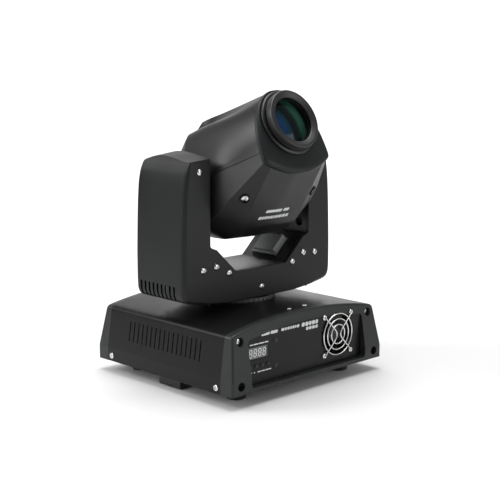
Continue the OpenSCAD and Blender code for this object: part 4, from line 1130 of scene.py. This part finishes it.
STATIONS = [106.0, 100, 92, 86, 79, 70, 62, 53, 44, 35, 26, 18, 10, 4, 0, -1.2, -3, -7, -11, -15, -16.6, -18, -20,
            -24, -30, -36, -43, -50, -58, -66, -72, -76, -78]


def head_loft(name, ring_fn):
    """A skin through the outlines at all stations, closed at the rear."""
    verts = []
    for a in STATIONS:
        half = ring_fn(a)
        full = half + [(-x, h) for x, h in reversed(half[:-1])]
        verts += [head_point(x, a, h) for x, h in full]
    n = len(full)
    faces = ring_faces(len(STATIONS), n, False)
    last = (len(STATIONS) - 1) * n
    for k in range(n // 2):
        right, left = last + k, last + n - 1 - k
        faces.append((right, right + 1, left - 1, left) if left - 1 > right + 1 else (right, right + 1, left))
    ob = add_mesh(name, verts, faces)
    cen = Vector(head_point(0, 10, 0)) * MM
    if sum(1 if (p.center - cen).dot(p.normal) > 0 else -1 for p in ob.data.polygons) < 0:
        ob.data.flip_normals()
    return ob


def soften_lines(ob, width, seg, lo):
    """Rounds the shell's feature lines."""
    bm = bmesh.new()
    bm.from_mesh(ob.data)
    es = [e for e in bm.edges if len(e.link_faces) == 2 and e.calc_face_angle(0) > math.radians(lo)]
    bmesh.ops.bevel(bm, geom=es, offset=width * MM, offset_type="OFFSET", segments=seg, profile=0.5,
                    affect="EDGES", clamp_overlap=True)
    bmesh.ops.remove_doubles(bm, verts=bm.verts, dist=1e-6)
    bm.to_mesh(ob.data)
    bm.free()


HEAD_TURN = Matrix.Translation((0, 0, TILT_Z * MM)) @ Matrix.Rotation(-BEAM_UP, 4, "X")


def shell_cuts(a0, a1, z0, z1):
    """A row of vents in the rear of a shell, in the head's own directions, and both axle holes."""
    cuts = []
    for i in range(-4, 5):
        vent = prism("vent", oblong(i * 8 - 1.9, i * 8 + 1.9, a0, a1, 1.8, 5), "z", z0, z1)
        vent.data.transform(HEAD_TURN)
        cuts.append(vent)
    return cuts + [rod("x", 0, TILT_Z, x, x + 30, 10.6, 48) for x in (-100, 70)]


upper = wall(head_loft("upper_shell_skin", up_ring), 2.4)
boolean(upper, shell_cuts(26, 62, 35, 95))
add_piece(smooth(upper, 15), "head", "shell_plastic", ["upper_shell"])

lower = head_loft("lower_shell_skin", low_ring)
soften_lines(lower, 0.9, 2, 14)
wall(lower, 2.4)
boolean(lower, shell_cuts(60, 95, -34, -9))


def pocket_matrix(s):
    """The place of a fastener pocket on the left (-1) or right (1) chamfer of the lower shell."""
    return (HEAD_TURN @ Matrix.Translation(Vector((s * 60.5, -61, -41.2)) * MM)
            @ Matrix.Rotation(math.radians(s * 152), 4, "Y") @ Matrix.Rotation(math.radians(27), 4, "X"))


for s in (-1, 1):
    pocket = rod("z", 0, 0, -9, 9, 6.6, 40)
    pocket.data.transform(pocket_matrix(s))
    boolean(lower, pocket)
smooth(lower, 13)


def low_height(x, a):
    ring = low_ring(a)
    for p, q in zip(ring, ring[1:]):
        if q[0] <= abs(x) <= p[0]:
            t = (p[0] - abs(x)) / max(1e-6, p[0] - q[0])
            return p[1] + (q[1] - p[1]) * t
    return ring[-1][1]


def under_mark(x, w, a0, a1, lean, r):
    """A printed bar on the slanted underside of the head, w wide, from a0 to a1 along the beam."""
    o = fillet([(x, a0), (x + w, a0), (x + w + lean, a1), (x + lean, a1)], r, 3)
    verts = [head_point(px, a, low_height(px, a) + lift) for lift in (0.1, -0.4) for px, a in o]
    n = len(o)
    return add_mesh("mark", verts, [tuple(range(n)), tuple(range(2 * n - 1, n - 1, -1))] + ring_faces(2, n))


marks = [under_mark(-19, 28, 45.6, 49.2, 1.5, 1.6), under_mark(12, 10, 45.6, 49.2, 1.5, 1.2)]
x = -27.0
for w in (5.4, 3.2, 4.2, 3.4, 4.0, 2.6, 4.4, 5.6, 5.2, 4.8):
    marks.append(under_mark(x, w, 37.4, 40.8, 0.8, 0.5))
    x += w + 1.1
add_marked_piece(lower, marks, PRINT, "head", "shell_plastic", ["lower_shell"])

CUP = [(6.55, 1.8), (6.55, -5.4), (2.1, -5.4), (2.1, -4.4), (5.6, -4.4), (5.6, 1.8)]
FASTENER = [(0, 1.4), (3.2, 1.3), (4.6, 0.7), (4.9, -0.2), (4.9, -3.0), (1.9, -3.0), (1.9, -5.2), (0, -5.2)]
SLOT_TURN = math.radians(70)
cups, fasteners = [], []
for s in (-1, 1):
    cup = lathe("cup", CUP, at_z(0, 0), 40)
    fastener = lathe("fastener", FASTENER, at_z(0, 0), 40, close=False)
    slot = box_cut(-6, 6, -1.35, 1.35, -2.4, 3)
    slot.data.transform(Matrix.Rotation(SLOT_TURN * s, 4, "Z"))
    boolean(fastener, slot)
    for ob, group in ((cup, cups), (fastener, fasteners)):
        ob.data.transform(pocket_matrix(s))
        group.append(ob)
add_piece(smooth(join(cups, "fastener_cups"), 40), "head", "shell_plastic")
add_piece(smooth(join(fasteners, "quarter_turn_screws"), 40), "head", "screw_chrome", ["head_fasteners"])

# ---- nose

BEZEL = [(0, 80.3), (12, 78.6), (22, 73.8), (32, 66.5), (38.5, 60), (45.5, 48.5), (51.8, 32), (55.8, 17),
         (57.3, 1), (58, -13), (53, -16.3), (47, -19.5), (38, -23.6), (28, -27.4), (16, -30.2), (0, -31.4)]


def bezel_ring(n=144):
    """The bezel's outline about the optical axis, as n points at equal angles."""
    full = chaikin(mirrored(BEZEL), 3, closed=True)
    out = []
    for i in range(n):
        t = 2 * math.pi * i / n
        d = Vector((math.sin(t), math.cos(t)))
        hits = []
        for p, q in zip(full, full[1:] + full[:1]):
            a, b = Vector(p) - Vector((0, OPTIC)), Vector(q) - Vector((0, OPTIC))
            e = b - a
            den = d.x * e.y - d.y * e.x
            if abs(den) < 1e-12:
                continue
            s = (a.x * e.y - a.y * e.x) / den
            u = (a.x * d.y - a.y * d.x) / den
            if s > 0 and -1e-9 <= u <= 1 + 1e-9:
                hits.append(s)
        out.append((d.x * max(hits), d.y * max(hits)))
    return out


ring = bezel_ring()
n = len(ring)
levels = []
for a, k in ((106.25, 0.955), (106.25, 1.0), (108.8, 1.0), (109.9, 0.994), (110.9, 0.98), (111.7, 0.958),
             (112.2, 0.93), (112.5, 0.89)):
    levels.append([(u * k, v * k, a) for u, v in ring])
for a, r in ((112.6, 44.5), (112.6, 43.2), (112.1, 42.9), (112.1, 34.1), (109.4, 34.1)):
    levels.append([(v, u, a) for u, v in circle(0, 0, r, n)])
for a, k in ((109.4, 0.9), (107.6, 0.955)):
    levels.append([(u * k, v * k, a) for u, v in ring])
verts = [optic_place(*p) for level in levels for p in level]
bezel = add_mesh("nose_ring", verts, ring_faces(len(levels), n, loop=True))
add_piece(smooth(bezel, 40), "head", "bezel_plastic", ["nose_bezel"])


def dome(r, a_edge, a_top, n):
    """Profile points of a spherical cap from its rim to its pole."""
    h = a_top - a_edge
    R = (r * r + h * h) / (2 * h)
    return [(r * (1 - k / n), a_top - R + math.sqrt(R * R - (r * (1 - k / n)) ** 2)) for k in range(n + 1)]


BARREL = [(31.2, 88), (33.5, 88), (33.5, 112.9), (41.6, 112.9), (42.3, 113.3), (42.5, 114.0), (42.2, 114.9),
          (41.2, 115.7), (39.6, 116.1), (36.5, 116.2), (34.0, 116.2), (33.5, 116.0), (33.5, 122.3), (31.2, 122.3)]
GRIP = [(33.65, 116.7), (37.2, 116.7), (37.9, 117.0), (38.2, 117.6), (38.2, 118.6), (37.8, 118.9), (37.8, 119.5),
        (38.2, 119.8), (38.5, 120.6), (38.5, 125.2), (38.3, 126.2), (37.7, 127.0), (36.8, 127.4), (35.7, 127.3),
        (34.6, 126.9), (30.2, 124.9), (29.3, 124.3), (29.0, 123.6), (29.2, 123.1), (33.65, 123.05)]
CELL = [(27.6, 104), (31.1, 104), (31.1, 119.8), (30.7, 120.2), (29.5, 120.2), (29.3, 119.9), (29.3, 110.7),
        (27.6, 110.5)]
FRONT_GLASS = [(0, 112.4), (28.4, 112.4), (29.2, 113.0)] + dome(29.2, 115.4, 120.6, 18)
INNER_GLASS = [(0, 96.0), (27.0, 96.0)] + dome(27.0, 99.0, 107.0, 16)

barrel = lathe("barrel", BARREL, optic_place, 128)
add_piece(smooth(barrel, 40), "head", "barrel_plastic", ["lens_barrel"])
grip = lathe("focus_grip_ring", GRIP, optic_place, 144)
add_piece(smooth(grip, 40), "focus_grip", "ring_anodised", ["focus_ring"])
cell = lathe("lens_holder", CELL, optic_place, 96)
add_piece(smooth(cell, 40), "focus_lens", "barrel_plastic", ["lens_cell"])
lens = lathe("front_glass", FRONT_GLASS, optic_place, 128, close=False)
add_piece(smooth(lens, 50, False), "focus_lens", "lens_glass", ["front_lens"])
inner = lathe("inner_glass", INNER_GLASS, optic_place, 112, close=False)
add_piece(smooth(inner, 50, False), "head", "lens_glass", mat=COATED)
tube = lathe("inner_tube", [(27.3, 60), (31.0, 60), (31.0, 99.4), (27.3, 99.4)], optic_place, 96)
add_piece(smooth(tube, 40), "head", "barrel_plastic")
iris = lathe("iris_plate", [(6.0, 62), (27.2, 62), (27.2, 64), (6.0, 64)], optic_place, 96)
add_piece(smooth(iris, 40), "head", "barrel_plastic")

# ---- inside the head

placing = HEAD_TURN @ Matrix.Translation((0, 0.0555, 0.020)) @ Matrix.Rotation(math.pi, 4, "Z")
head_rotor = rotor("head_fan_blades", 8, 19.2, 7.0, 7.5, 7, placing)
add_piece(head_rotor, "head_fan", "fan_plastic", ["head_fan_rotor"])

# ---- studio, in metres

FORWARD = Vector((math.sin(math.radians(VIEW_TURN)), math.cos(math.radians(VIEW_TURN)), 0))
SIDEWAYS = Vector((FORWARD.y, -FORWARD.x, 0))


def ahead(d, side, z):
    """A place d metres beyond the object as the camera sees it."""
    v = FORWARD * d + SIDEWAYS * side
    return (v.x, v.y, z)


# a floor that sweeps up into a wall behind the object
BEND = 1.4
sweep = [(2.2 + BEND * math.sin(math.pi / 2 * k / 12), BEND - BEND * math.cos(math.pi / 2 * k / 12))
         for k in range(1, 13)]
sweep = [(-3.0, 0.0), (2.2, 0.0)] + sweep + [(3.6, 4.5)]
floor_mesh = bpy.data.meshes.new("studio_floor")
floor_mesh.from_pydata([ahead(d, side, z) for d, z in sweep for side in (-5.0, 5.0)], [],
                       [(2 * k, 2 * k + 1, 2 * k + 3, 2 * k + 2) for k in range(len(sweep) - 1)])
for p in floor_mesh.polygons:
    p.use_smooth = True
floor_mesh.materials.append(PAPER)
floor = put(bpy.data.objects.new("studio_floor", floor_mesh))


def area_light(name, loc, target, width, height, power):
    d = bpy.data.lights.new(name, "AREA")
    d.shape = "RECTANGLE"
    d.size = width
    d.size_y = height
    d.energy = power
    o = put(bpy.data.objects.new(name, d))
    o.location = loc
    o.rotation_euler = (Vector(target) - Vector(loc)).to_track_quat("-Z", "Y").to_euler()


area_light("key_top", (0.15, 0.1, 2.0), (0, 0, 0.1), 1.5, 1.5, 38)
area_light("left_soft", (-1.2, 1.0, 1.12), (0, 0, 0.3), 0.8, 0.75, 15)
area_light("left_low", (-1.85, 0.16, 0.62), (0, 0, 0.3), 0.5, 0.6, 7.5)
area_light("right_soft", (0.8, -1.6, 0.55), (0, 0, 0.22), 0.9, 0.6, 6)
area_light("back_wash", ahead(1.5, 0, 2.3), ahead(3.5, 0, 1.1), 2.6, 0.8, 84)
world = bpy.data.worlds.new("studio")
bpy.context.scene.world = world
world.use_nodes = True
background = world.node_tree.nodes["Background"]
background.inputs["Color"].default_value = (1, 1, 1, 1)
background.inputs["Strength"].default_value = 0.27
